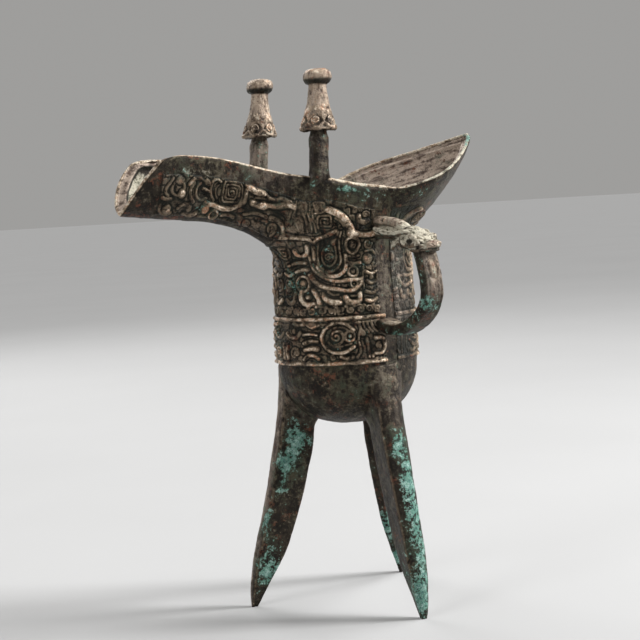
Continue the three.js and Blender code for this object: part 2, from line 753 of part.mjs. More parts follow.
// The ox head: neck, brow, muzzle, and its ears, horns and eyes.
function headSolid(grow) {
  const root = cupHalfWidth * along(wallStations, headRootZ, 1);
  const reach = handleReach - root;
  // Share of the way to the muzzle, height of the middle, half height and half width
  const stations = [
    [-embed / reach, headRootZ, 4.4, 0.62],
    [0.2, headRootZ - 0.6, 4.9, 0.74],
    [0.38, mix(headRootZ, jawZ, 0.3), 5.6, 0.92],
    [0.52, mix(headRootZ, jawZ, 0.45), 5.9, 1.0],
    [0.66, mix(headRootZ, jawZ, 0.66), 4.7, 0.8],
    [0.8, mix(headRootZ, jawZ, 0.87), 3.3, 0.6],
    [0.9, jawZ + 0.7, 2.9, 0.58],
    [0.97, jawZ + 0.8, 2.4, 0.5],
    [1.0, jawZ + 0.8, 1.2, 0.26],
  ];
  const rings = stations.map(([share, z, halfHeight, wide], i) => {
    const r = root + reach * share + (i === stations.length - 1 ? grow : 0);
    return handleRing(r, z, 0, headHalfWidth * wide + grow, halfHeight + grow, 2.3);
  });
  let head = solidOf(loft(rings));
  for (const side of [-1, 1]) {
    const brow = root + reach * 0.44;
    const horn = new THREE.ConeGeometry(1.7 + grow, 8 + grow, 8);
    horn.rotateX(-Math.PI * 0.42);
    horn.rotateZ(side * 0.35);
    horn.translate(side * headHalfWidth * 0.62, -(brow - 6.5), headRootZ + 3.4);
    const ear = new THREE.SphereGeometry(1, 8, 6);
    ear.scale(3.0 + grow, 1.7 + grow, 1.5 + grow);
    ear.rotateZ(side * 0.5);
    ear.translate(side * headHalfWidth * 1.0, -(brow - 2.4), headRootZ - 1.2);
    const eye = new THREE.SphereGeometry(1.7 + grow, 8, 6);
    eye.translate(side * headHalfWidth * 0.8, -(brow + 3.6), mix(headRootZ, jawZ, 0.36));
    head = head.add(solidOf(horn)).add(solidOf(ear)).add(solidOf(eye));
  }
  return head;
}

const strap = () => strapSolid(0).subtract(envelope).subtract(headSolid(seam));
const head = () => headSolid(0).subtract(envelope);

// Legs

// A leg stands in the upright half plane at an angle; its section is a blade, wide outside and narrow inside.
function leg(angle) {
  const ring = (z, outer, inner, outerHalf, innerHalf) =>
    [
      [outer, outerHalf * 0.82],
      [outer - 0.7, outerHalf],
      [inner + 0.4, innerHalf],
      [inner, innerHalf * 0.7],
      [inner, -innerHalf * 0.7],
      [inner + 0.4, -innerHalf],
      [outer - 0.7, -outerHalf],
      [outer, -outerHalf * 0.82],
    ].map(([r, t]) => {
      const [c, s] = [Math.cos(angle), Math.sin(angle)];
      return new THREE.Vector3(r * c - t * s, r * s + t * c, z);
    });
  const footOuter = footRadius + footDepth / 2;
  const rings = [ring(0, footOuter, footOuter - footDepth, footWidth / 2, footWidth * 0.35)];
  for (const [z, back, depth, outerWidth, innerWidth] of legStations)
    rings.push(ring(z, footOuter - back, footOuter - back - depth, outerWidth / 2, innerWidth / 2));
  const last = legStations[legStations.length - 1];
  const topOuter = wallRadius(angle, legRootZ, 0) + 0.9;
  rings.push(ring(legRootZ, topOuter, topOuter - last[2], last[3] / 2 - 0.6, last[4] / 2));
  return solidOf(loft(rings)).subtract(envelope);
}

// The assembly

const handleAngle = -Math.PI / 2;
const thirdTurn = (2 * Math.PI) / 3;

addPiece("cup_body", shell.intersect(cupRoom), darkBronze);
addPiece("spout", shell.intersect(spoutRoom), darkBronze);
addPiece("tail", shell.intersect(tailRoom), darkBronze);
addPiece("upper_frieze", upperFrieze(), wornBronze);
addPiece("lower_frieze", lowerFrieze(), wornBronze);
addPiece("spout_frieze_near", spoutFrieze(-1), wornBronze);
addPiece("spout_frieze_far", spoutFrieze(1), wornBronze);
addPiece("post_near", post(-1), darkBronze);
addPiece("post_far", post(1), darkBronze);
addPiece("cap_near", cap(-1), wornBronze);
addPiece("cap_far", cap(1), wornBronze);
addPiece("handle_strap", strap(), darkBronze);
addPiece("handle_ox_head", head(), wornBronze);
addPiece("leg_handle_side", leg(handleAngle), greenBronze);
addPiece("leg_spout_side", leg(handleAngle - thirdTurn), greenBronze);
addPiece("leg_tail_side", leg(handleAngle + thirdTurn), greenBronze);

// The cup's axis stands where the outermost points balance about the origin.
const mouthHalfWidth = Math.max(...outerRim.map((p) => p.y));
jue.position.set((spoutReach - tailReach) / 2, (handleReach - mouthHalfWidth) / 2, 0);

const part = new THREE.Group();
part.add(jue);
export default part;
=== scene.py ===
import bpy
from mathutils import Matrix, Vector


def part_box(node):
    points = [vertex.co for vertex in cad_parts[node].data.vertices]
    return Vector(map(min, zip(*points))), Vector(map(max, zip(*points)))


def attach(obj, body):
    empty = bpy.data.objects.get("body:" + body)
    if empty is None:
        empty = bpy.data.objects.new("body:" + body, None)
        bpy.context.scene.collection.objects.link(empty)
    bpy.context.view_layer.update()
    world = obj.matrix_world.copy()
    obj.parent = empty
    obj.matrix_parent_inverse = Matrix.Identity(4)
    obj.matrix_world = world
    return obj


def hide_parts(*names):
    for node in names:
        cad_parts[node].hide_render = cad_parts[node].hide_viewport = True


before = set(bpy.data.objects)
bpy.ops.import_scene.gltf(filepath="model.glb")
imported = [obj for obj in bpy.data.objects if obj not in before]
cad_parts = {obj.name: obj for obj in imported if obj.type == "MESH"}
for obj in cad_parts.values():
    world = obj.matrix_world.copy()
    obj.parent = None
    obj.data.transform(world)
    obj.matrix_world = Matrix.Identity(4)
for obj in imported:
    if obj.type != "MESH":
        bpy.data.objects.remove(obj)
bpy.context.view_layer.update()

import math

import bmesh
import bpy
import numpy as np
from mathutils import Matrix, Vector, noise

bl_info = {
    "name": "Bronze jue",
    "version": (1, 0, 0),
    "blender": (4, 5, 0),
    "location": "View3D > Sidebar > Jue",
    "description": "Builds an archaic bronze jue with cast friezes, capped posts and an ox-head handle",
    "category": "Add Mesh",
}

MM = 0.001


def middle(node, axis):
    """The middle of a solid along an axis, in millimetres."""
    low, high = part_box(node)
    return (low[axis] + high[axis]) / 2 / MM


# Where the cup's axis stands in the frame, in millimetres
AXIS = np.array([middle("handle_strap", 0), middle("spout", 1), 0.0])

# Shape of the vessel, in millimetres about the cup's axis: +X to the tail, -X to the spout, -Y to the handle

CUP_LENGTH, CUP_WIDTH = 28.2, 26.2  # half axes of the oval cup
UNDERSIDE, BOWL, BOWL_POWER = 72.3, 24.7, 2.25  # lowest point, height and fullness of the round bottom
SHOULDER = UNDERSIDE + BOWL
WAIST, WAIST_PINCH = 138, 0.958  # height at which the cup is narrowest, and its share of the full size there
WALL = 2.6
SPOUT_REACH, TAIL_REACH = 96, 68.4
SPOUT_SLANT, SLANT_POWER = 12.5, 1.5  # how far the mouth's upper edge stands back, and how the edge bends
SPOUT_ROUND, TAIL_ROUND = 1.5, 1.2  # powers of the sections: 2 is an ellipse, 1 a wedge
TURN_START, TURN_LENGTH = -25, 35  # where along X one power passes into the other
HULL_BLEND = 5  # fillet between cup and flaring mouth
LIP_CROWN = 1.0  # how far the lip is rounded up
LIP_BAND, LIP_STEP, LIP_BEVEL = 2.8, 0.6, 1.0  # width, height and bevel of the band inside the rim
FRIEZE_TOP = 156

# Share of the reach, half width, rim height, keel height
SPOUT_STATIONS = [
    (0.0, 28.0, 164.0, 134.0), (0.083, 25.4, 165.2, 134.5), (0.224, 21.0, 168.4, 136.0),
    (0.333, 17.9, 170.0, 143.0), (0.469, 15.5, 173.0, 150.6), (0.625, 14.3, 177.0, 154.8),
    (0.781, 13.6, 178.9, 156.6), (0.9, 13.2, 179.0, 157.8), (1.0, 13.0, 179.0, 158.8),
]
TAIL_STATIONS = [
    (0.0, 28.0, 164.0, 134.0), (0.117, 31.6, 163.4, 136.0), (0.234, 35.5, 165.4, 139.0),
    (0.351, 37.0, 168.3, 142.0), (0.468, 34.6, 172.0, 146.4), (0.585, 29.2, 175.2, 152.5),
    (0.789, 16.4, 179.8, 164.0), (0.936, 6.2, 183.6, 175.5), (1.0, 0.0, 185.2, 181.5),
]
WALL_STATIONS = [
    (SHOULDER, 1), (SHOULDER + 15, 1), (WAIST, WAIST_PINCH),
    (FRIEZE_TOP, WAIST_PINCH + (1 - WAIST_PINCH) * 0.6), (FRIEZE_TOP + 20, 1),
]
RAY_Z = SPOUT_STATIONS[0][2] + 7  # height on the axis from which the wall is traced

POST_TOP = 186.5
SEAM = 0.3  # gap under a cap
STRAP_WIDTH, STRAP_THICK = 8.6, 4.6
STRAP_ROOT, STRAP_REACH, STRAP_BELLY = 110, 55.7, 127
JAW = 141  # height of the ox's jaw, where the strap ends
LEG_ROOT, FOOT_RADIUS = 96.5, 43
LEG_COUNT, FIRST_LEG = 3, 30  # the first leg's direction in degrees

# Height, outer edge short of the foot's, depth, outer width, inner width
LEG_STATIONS = [
    (0, 0.0, 2.6, 2.4, 1.2), (6, 0.0, 6.0, 5.2, 1.8), (14, 0.9, 9.0, 7.4, 2.6), (25, 3.3, 11.4, 9.0, 3.0),
    (40, 7.2, 12.8, 9.8, 3.4), (57, 10.9, 13.9, 10.6, 3.8), (72.5, 14.0, 14.9, 11.2, 4.2),
    (88.5, 16.2, 16.0, 11.0, 5.0), (96.5, 16.6, 16.4, 9.6, 5.0),
]


# Small helpers


def smooth(low, high, x):
    """0 at low, 1 at high, and a soft step between. Low may be the larger one."""
    t = np.clip((x - low) / (high - low), 0, 1)
    return t * t * (3 - 2 * t)


def bell(distance, width):
    """1 at no distance, falling off softly over a width."""
    return np.exp(-((distance / width) ** 2))


def along(stations, place, column):
    """A smooth line through stations, read at a place."""
    knots = np.array([row[0] for row in stations], float)
    values = np.array([row[column] for row in stations], float)
    last = len(knots) - 1
    before = np.maximum(np.arange(last + 1) - 1, 0)
    after = np.minimum(np.arange(last + 1) + 1, last)
    slopes = (values[after] - values[before]) / (knots[after] - knots[before])
    t = np.clip(place, knots[0], knots[-1])
    i = np.searchsorted(knots[1:-1], t)
    span = knots[i + 1] - knots[i]
    u = (t - knots[i]) / span
    return (
        (2 * u**3 - 3 * u**2 + 1) * values[i]
        + (u**3 - 2 * u**2 + u) * slopes[i] * span
        + (3 * u**2 - 2 * u**3) * values[i + 1]
        + (u**3 - u**2) * slopes[i + 1] * span
    )


def curve(points, steps=10):
    """A rounded line through points, as many steps between each two."""
    p = np.array([points[0], *points, points[-1]], float)
    out = []
    for a, b, c, d in zip(p, p[1:], p[2:], p[3:]):
        for t in np.arange(steps) / steps:
            out.append(0.5 * (2 * b + (c - a) * t + (2 * a - 5 * b + 4 * c - d) * t**2
                              + (3 * b - a - 3 * c + d) * t**3))
    return np.array([*out, p[-1]])


# The wall as a field: below nothing inside it, above nothing outside. An inset moves the face inwards.


def cup_field(x, y, z, inset):
    """The oval cup: straight above the shoulder, with a round bottom below it."""
    swell = along(WALL_STATIONS, z, 1)
    straight = np.hypot(x / (CUP_LENGTH * swell - inset), y / (CUP_WIDTH * swell - inset)) - 1
    ring = np.hypot(x / (CUP_LENGTH - inset), y / (CUP_WIDTH - inset)) ** BOWL_POWER
    drop = (np.maximum(SHOULDER - z, 0) / (BOWL - inset)) ** BOWL_POWER
    bowl = (ring + drop) ** (1 / BOWL_POWER) - 1
    return np.where(z >= SHOULDER, straight, bowl) * (CUP_WIDTH - inset)


def hull_at(x, inset):
    """Half width, rim height and keel height of the mouth at a place along X."""
    x = np.asarray(x, float)
    tail = x >= 0
    place = np.abs(x) / np.where(tail, TAIL_REACH, SPOUT_REACH)
    half, rim, keel = (
        np.where(tail, along(TAIL_STATIONS, place, k), along(SPOUT_STATIONS, place, k)) for k in (1, 2, 3)
    )
    thin = np.where(tail, 1 + 0.45 * np.clip(place * 1.4 - 0.4, 0, 1), 1)
    return half - inset * thin, rim, keel + inset * np.where(tail, 1.35, 1.05)


def hull_field(x, y, z, inset):
    """The mouth: spout and tail as one hull with a keel."""
    half, rim, keel = hull_at(x, inset)
    wide = np.maximum(half, 0.02)
    power = SPOUT_ROUND + (TAIL_ROUND - SPOUT_ROUND) * np.clip((x - TURN_START) / TURN_LENGTH, 0, 1)
    across = (np.abs(y) / wide) ** power
    down = (np.maximum(rim - z, 0) / np.maximum(rim - keel, 0.5)) ** power
    body = ((across + down) ** (1 / power) - 1) * np.minimum(wide, rim - keel)
    beyond = np.abs(x) + np.abs(y) * 10 - TAIL_REACH + 0.001 + inset
    return np.where(half < 0.02, beyond, np.maximum(body, x - TAIL_REACH + inset * 0.6))


def wall_field(x, y, z, inset):
    """Cup and mouth in one, with a fillet where they meet."""
    a, b = cup_field(x, y, z, inset), hull_field(x, y, z, inset)
    h = np.maximum(HULL_BLEND - np.abs(a - b), 0) / HULL_BLEND
    return np.minimum(a, b) - h * h * HULL_BLEND / 4


HALVINGS = 20  # how often the last stride of a ray is halved


def first_hit(inside, start, stride, shape, limit=140):
    """Distance along each ray at which inside(distance) turns positive."""
    high = np.full(shape, float(start))
    for _ in range(int((limit - start) / stride)):
        high = np.where(inside(high) < 0, high + stride, high)
    low = high - stride
    for _ in range(HALVINGS):
        mid = (low + high) / 2
        within = inside(mid) < 0
        low, high = np.where(within, mid, low), np.where(within, high, mid)
    return high


def wall_radius(angle, z, inset=0.0):
    """Distance from the axis to the wall's face, level with a height."""
    c, s = np.cos(angle), np.sin(angle)
    return first_hit(lambda r: wall_field(c * r, s * r, z, inset), 10, 1, np.shape(z), 100)


# Points along the rim's side and down the mouth, their spacing in millimetres, and how many of them the rounding of
# the corner takes in on each side
SIDE_POINTS, MOUTH_POINTS = 500, 80
RIM_SPACING = 0.3
CORNER_REACH, CORNER_SPREAD = 70, 25


def rim_line(inset):
    """Half the rim, from the tail's tip to the middle of the lower lip."""
    corner = -SPOUT_REACH + SPOUT_SLANT
    tip = TAIL_REACH - inset * 0.6
    while inset > 0 and hull_at(tip, inset)[0] < 0:
        tip -= 0.02
    x = np.linspace(tip, corner, SIDE_POINTS)
    half, rim, _ = hull_at(x, inset)
    side = np.stack([x, np.maximum(half, 0), rim], 1)
    side[0, 1] = 0
    _, end_rim, end_keel = hull_at(-SPOUT_REACH, 0)
    top, low = hull_at(corner, inset)[1], hull_at(-SPOUT_REACH, inset)[2]
    z = np.linspace(top, low, MOUTH_POINTS)[1:]
    x = -SPOUT_REACH + SPOUT_SLANT * np.clip((z - end_keel) / (end_rim - end_keel), 0, 1) ** SLANT_POWER
    half, rim, keel = hull_at(x, inset)
    down = np.clip((rim - z) / (rim - keel), 0, 1) ** SPOUT_ROUND
    lip = np.stack([x, half * np.maximum(1 - down, 0) ** (1 / SPOUT_ROUND), z], 1)
    line = np.concatenate([side, lip])
    # The corner where the top edge turns down into the mouth is rounded
    length = np.r_[0, np.cumsum(np.linalg.norm(np.diff(line, axis=0), axis=1))]
    line = resample(line, int(length[-1] / RIM_SPACING))
    turn = int(length[len(side) - 1] / length[-1] * (len(line) - 1))
    steps = np.arange(-CORNER_SPREAD, CORNER_SPREAD + 1)
    kernel = bell(steps, 9.0)
    kernel /= kernel.sum()
    near = slice(turn - CORNER_REACH, min(turn + CORNER_REACH, len(line) - CORNER_SPREAD - 1))
    place = np.arange(near.start, near.stop)
    share = np.exp(-(((place - turn) / 30) ** 4))[:, None]
    round_off = np.stack([(line[k + steps] * kernel[:, None]).sum(0) for k in place])
    line[near] += (round_off - line[near]) * share
    half, rim, keel = hull_at(line[near, 0], inset)
    down = np.clip((rim - line[near, 2]) / (rim - keel), 0, 1) ** SPOUT_ROUND
    line[near, 1] = half * np.maximum(1 - down, 0) ** (1 / SPOUT_ROUND)
    line[-1, 1] = 0
    return line


def resample(line, count, gather=1.0):
    """Even points along a line, or points that gather towards its end."""
    steps = np.linalg.norm(np.diff(line, axis=0), axis=1)
    length = np.r_[0, np.cumsum(steps)]
    want = length[-1] * (1 - np.linspace(1, 0, count + 1) ** gather)
    return np.stack([np.interp(want, length, line[:, k]) for k in range(3)], 1)


RAYS = 220  # rays for each column


def wall_columns(angles, line, inset, rows, gather):
    """Columns of points up the wall's face, from the middle of the bottom to the rim, all the way round."""
    own = np.arctan2(line[:, 1], line[:, 0])
    rim = np.stack([np.interp(angles, own, line[:, k]) for k in range(3)], 1)
    rim[0], rim[-1] = line[0], line[-1]
    top = np.arctan2(rim[:, 2] - RAY_Z, np.hypot(rim[:, 0], rim[:, 1]))
    share = np.linspace(0, 1, RAYS + 1)
    slope = -np.pi / 2 + (top[:, None] + np.pi / 2) * share
    dx, dy = np.cos(angles)[:, None] * np.cos(slope), np.sin(angles)[:, None] * np.cos(slope)
    dz = np.sin(slope)
    t = first_hit(lambda r: wall_field(dx * r, dy * r, RAY_Z + dz * r, inset), 4, 2, slope.shape)
    points = np.stack([dx * t, dy * t, RAY_Z + dz * t], -1)
    points[:, -1] = rim
    points[:, 0, :2] = 0
    half = np.stack([resample(column, rows, gather) for column in points])
    mirrored = half[-2:0:-1] * np.array([1, -1, 1])
    return np.concatenate([half, mirrored])


# Meshes


def show(name, data):
    """A new object in the scene that holds the data."""
    thing = bpy.data.objects.new(name, data)
    bpy.context.scene.collection.objects.link(thing)
    return thing


def to_mesh(name, points, faces):
    """A smooth-shaded object from points in millimetres about the cup's axis."""
    mesh = bpy.data.meshes.new(name)
    mesh.from_pydata(((np.asarray(points) + AXIS) * MM).tolist(), [], faces)
    mesh.validate()
    mesh.shade_smooth()
    mesh.update()
    return show(name, mesh)


def set_attribute(thing, key, values):
    """Gives each point one number under a name."""
    layer = thing.data.attributes.get(key) or thing.data.attributes.new(key, "FLOAT", "POINT")
    layer.data.foreach_set("value", np.asarray(values, np.float32))


def vectors_of(thing, key):
    flat = np.empty(len(thing.data.vertices) * 3, np.float32)
    thing.data.vertices.foreach_get(key, flat)
    return flat.reshape(-1, 3)


def points_of(thing):
    """An object's points in millimetres about the cup's axis."""
    return vectors_of(thing, "co") / MM - AXIS


def normals_of(thing):
    return vectors_of(thing, "normal")


def set_points(thing, points):
    """Puts an object's points where these are, in millimetres about the cup's axis."""
    thing.data.vertices.foreach_set("co", ((points + AXIS) * MM).astype(np.float32).ravel())
    thing.data.update()


def rough(points, size, seed, octaves=3):
    """Soft noise from about -1 to 1 at each point, with dents of a size in millimetres."""
    shift = Vector((seed * 7.3, seed * 3.1, seed * 5.7))
    return np.array([noise.fractal(Vector(p) / size + shift, 1.0, 2.0, octaves) for p in points.tolist()])


def weather(thing, depth, size, seed):
    """Uneven casting skin: moves the points along their normals by a little noise."""
    points = points_of(thing)
    set_points(thing, points + normals_of(thing) * (rough(points, size, seed) * depth)[:, None])


UPRIGHT_GRAIN = (1, 1, 0.15)


def dress(thing, grain=None, **layers):
    """Fills the attributes the finish reads, and leaves at nothing those that aren't given. The grain is a place
    in which streaks run along the axis that is squeezed. On most pieces that is upright."""
    count = len(thing.data.vertices)
    grain = points_of(thing) * UPRIGHT_GRAIN if grain is None else grain
    layer = thing.data.attributes.new("grain", "FLOAT_VECTOR", "POINT")
    layer.data.foreach_set("vector", (grain * MM).astype(np.float32).ravel())
    for key in ("relief", "carved", "verdigris", "pale", "earth"):
        set_attribute(thing, key, np.zeros(count) + layers.get(key, 0.0))


def spots(points, rows):
    """Soft spots, each with its place, its reach along each axis and its strength, added up at each point."""
    out = np.zeros(len(points))
    for place, reach, strength in rows:
        out += strength * np.exp(-(((points - np.array(place)) / np.array(reach)) ** 2).sum(1))
    return out


def sheet_faces(base, across, up, closed):
    """Quads of a grid of points, counted along up inside across."""
    a, u = np.meshgrid(np.arange(across if closed else across - 1), np.arange(up - 1), indexing="ij")
    b = (a + 1) % across
    quads = np.stack([a * up + u, b * up + u, b * up + u + 1, a * up + u + 1], -1).reshape(-1, 4)
    return (quads + base).tolist()


def tube(rings):
    """Points and faces of a closed body through rings of equal counts, given as an array."""
    count, around, _ = rings.shape
    points = rings.reshape(-1, 3)
    i, k = np.meshgrid(np.arange(count - 1), np.arange(around), indexing="ij")
    j = (k + 1) % around
    quads = np.stack([i * around + k, i * around + j, (i + 1) * around + j, (i + 1) * around + k], -1)
    faces = quads.reshape(-1, 4).tolist()
    faces.append(list(range(around))[::-1])
    faces.append([(count - 1) * around + k for k in range(around)])
    return points, faces


def patch_solid(front, back):
    """A closed relief: a fine front grid and a coarse back grid with as many columns. Both are open strips."""
    columns, rows, _ = front.shape
    depth = back.shape[1]
    base = columns * rows
    points = np.concatenate([front.reshape(-1, 3), back.reshape(-1, 3)])
    faces = sheet_faces(0, columns, rows, False)
    faces += [face[::-1] for face in sheet_faces(base, columns, depth, False)]
    for c in range(columns - 1):
        f, b = c * rows, base + c * depth
        faces.append([f + rows, f, b, b + depth])
        faces.append([f + rows - 1, f + 2 * rows - 1, b + 2 * depth - 1, b + depth - 1])
    last_front, last_back = (columns - 1) * rows, base + (columns - 1) * depth
    faces.append([*range(0, rows), *range(base + depth - 1, base - 1, -1)])
    faces.append([*range(last_front + rows - 1, last_front - 1, -1), *range(last_back, last_back + depth)])
    return points, faces


def grid_normals(grid):
    """Unit normals of a grid of points."""
    du = np.gradient(grid, axis=0)
    dv = np.gradient(grid, axis=1)
    n = np.cross(du, dv)
    return n / np.maximum(np.linalg.norm(n, axis=-1, keepdims=True), 1e-9)


# Carving: a relief drawn with strokes on a flat field

QUARTER_TURN = 1.57  # from each filling spiral to the next


class Carving:
    """Heights over a flat field in millimetres. Strokes stand up from it, and the highest one shows."""

    def __init__(self, low, high, step=0.12):
        self.low, self.step = np.array(low, float), step
        self.u = np.arange(low[0], high[0] + step, step)
        self.v = np.arange(low[1], high[1] + step, step)
        self.height = np.zeros((len(self.u), len(self.v)))

    def near(self, points, reach):
        """The part of the field within reach of a line, and how far each of its points is from the line."""
        low, high = points.min(0) - reach, points.max(0) + reach
        a = slice(*np.searchsorted(self.u, [low[0], high[0]]))
        b = slice(*np.searchsorted(self.v, [low[1], high[1]]))
        uu, vv = np.meshgrid(self.u[a], self.v[b], indexing="ij")
        nearest = np.full(uu.shape, 1e9)
        for p, q in zip(points, points[1:]):
            d = q - p
            t = np.clip(((uu - p[0]) * d[0] + (vv - p[1]) * d[1]) / max(d @ d, 1e-9), 0, 1)
            nearest = np.minimum(nearest, np.hypot(uu - p[0] - t * d[0], vv - p[1] - t * d[1]))
        return (a, b), nearest

    def stroke(self, points, width=1.2, height=0.9):
        """A round-backed ridge along straight pieces."""
        points = np.asarray(points, float)
        where, d = self.near(points, width)
        if d.size:
            ridge = height * np.sqrt(np.clip(1 - (d / (width * 0.62)) ** 2, 0, 1))
            self.height[where] = np.maximum(self.height[where], ridge)

    def line(self, *points, width=1.2, height=0.9):
        """A ridge along a rounded line."""
        self.stroke(curve(points), width, height)

    def boss(self, centre, radius, height=1.2):
        """A round knob."""
        self.stroke(np.array([centre, centre]), radius * 1.8, height)

    def ring(self, centre, radius, width=0.8, height=0.8):
        """A round ridge."""
        a = np.linspace(0, 2 * np.pi, 33)
        self.stroke(np.array(centre) + radius * np.stack([np.cos(a), np.sin(a)], 1), width, height)

    def spiral(self, centre, radius, turns=2.0, start=0.0, square=0.0, hand=1, width=0.7, height=0.7):
        """A ridge that winds outwards, round or towards a square."""
        t = np.linspace(0, 1, int(26 * turns) + 1)
        a = start + hand * 2 * np.pi * turns * t
        corner = 1 / np.maximum(np.abs(np.cos(a)), np.abs(np.sin(a)))
        r = radius * (0.12 + 0.88 * t) * (1 + square * (np.minimum(corner, 1.32) - 1))
        self.stroke(np.array(centre) + np.stack([r * np.cos(a), r * np.sin(a)], 1), width, height)

    def pit(self, centre, radius, depth):
        """A round hole."""
        where, d = self.near(np.array([centre, centre], float), radius * 2)
        self.height[where] -= depth * (1 - smooth(radius * 0.5, radius * 1.2, d))

    def thread(self, pitch, width=0.78, height=0.62, clear=0.4):
        """Fills what is still bare with a ground of small square spirals."""
        bare = Carving(self.low, (self.u[-1], self.v[-1]), self.step)
        bare.u, bare.v, bare.height = self.u, self.v, np.zeros_like(self.height)
        rows = int((self.v[-1] - self.v[0]) / pitch) + 2
        columns = int((self.u[-1] - self.u[0]) / pitch) + 2
        for i in range(columns):
            for j in range(rows):
                centre = (self.u[0] + (i + 0.5 * (j % 2)) * pitch, self.v[0] + (j + 0.5) * pitch)
                hand = 1 if (i + j) % 2 else -1
                bare.spiral(centre, pitch * 0.46, 1.35, (i + j) * QUARTER_TURN, 0.8, hand, width, height)
        taken = self.height > 0.12
        reach = max(int(clear / self.step), 1)
        spread = taken.copy()
        for shift in range(1, reach + 1):
            for axis in (0, 1):
                spread |= np.roll(taken, shift, axis) | np.roll(taken, -shift, axis)
        self.height = np.where(spread, self.height, np.maximum(self.height, bare.height))

    def soften(self, times=1):
        """Rounds the drawing off, as casting and wear do."""
        for _ in range(times):
            for axis in (0, 1):
                self.height = (np.roll(self.height, 1, axis) + 2 * self.height + np.roll(self.height, -1, axis)) / 4

    def read(self, u, v):
        """Heights at places between the field's points."""
        fu = np.clip((u - self.u[0]) / self.step, 0, len(self.u) - 1.001)
        fv = np.clip((v - self.v[0]) / self.step, 0, len(self.v) - 1.001)
        i, j = fu.astype(int), fv.astype(int)
        a, b = fu - i, fv - j
        h = self.height
        return (h[i, j] * (1 - a) * (1 - b) + h[i + 1, j] * a * (1 - b)
                + h[i, j + 1] * (1 - a) * b + h[i + 1, j + 1] * a * b)


QUARTER = 42.8  # length round the cup from the handle's plane to the spout's
UPPER_LOW, LOWER_LOW = 116.4, 97.4  # heights at which the friezes start
FRIEZE_RADIUS = 27.4  # mean radius of the bands round the cup
SPOUT_TALL = 22.0  # height of the spout's side as it is drawn


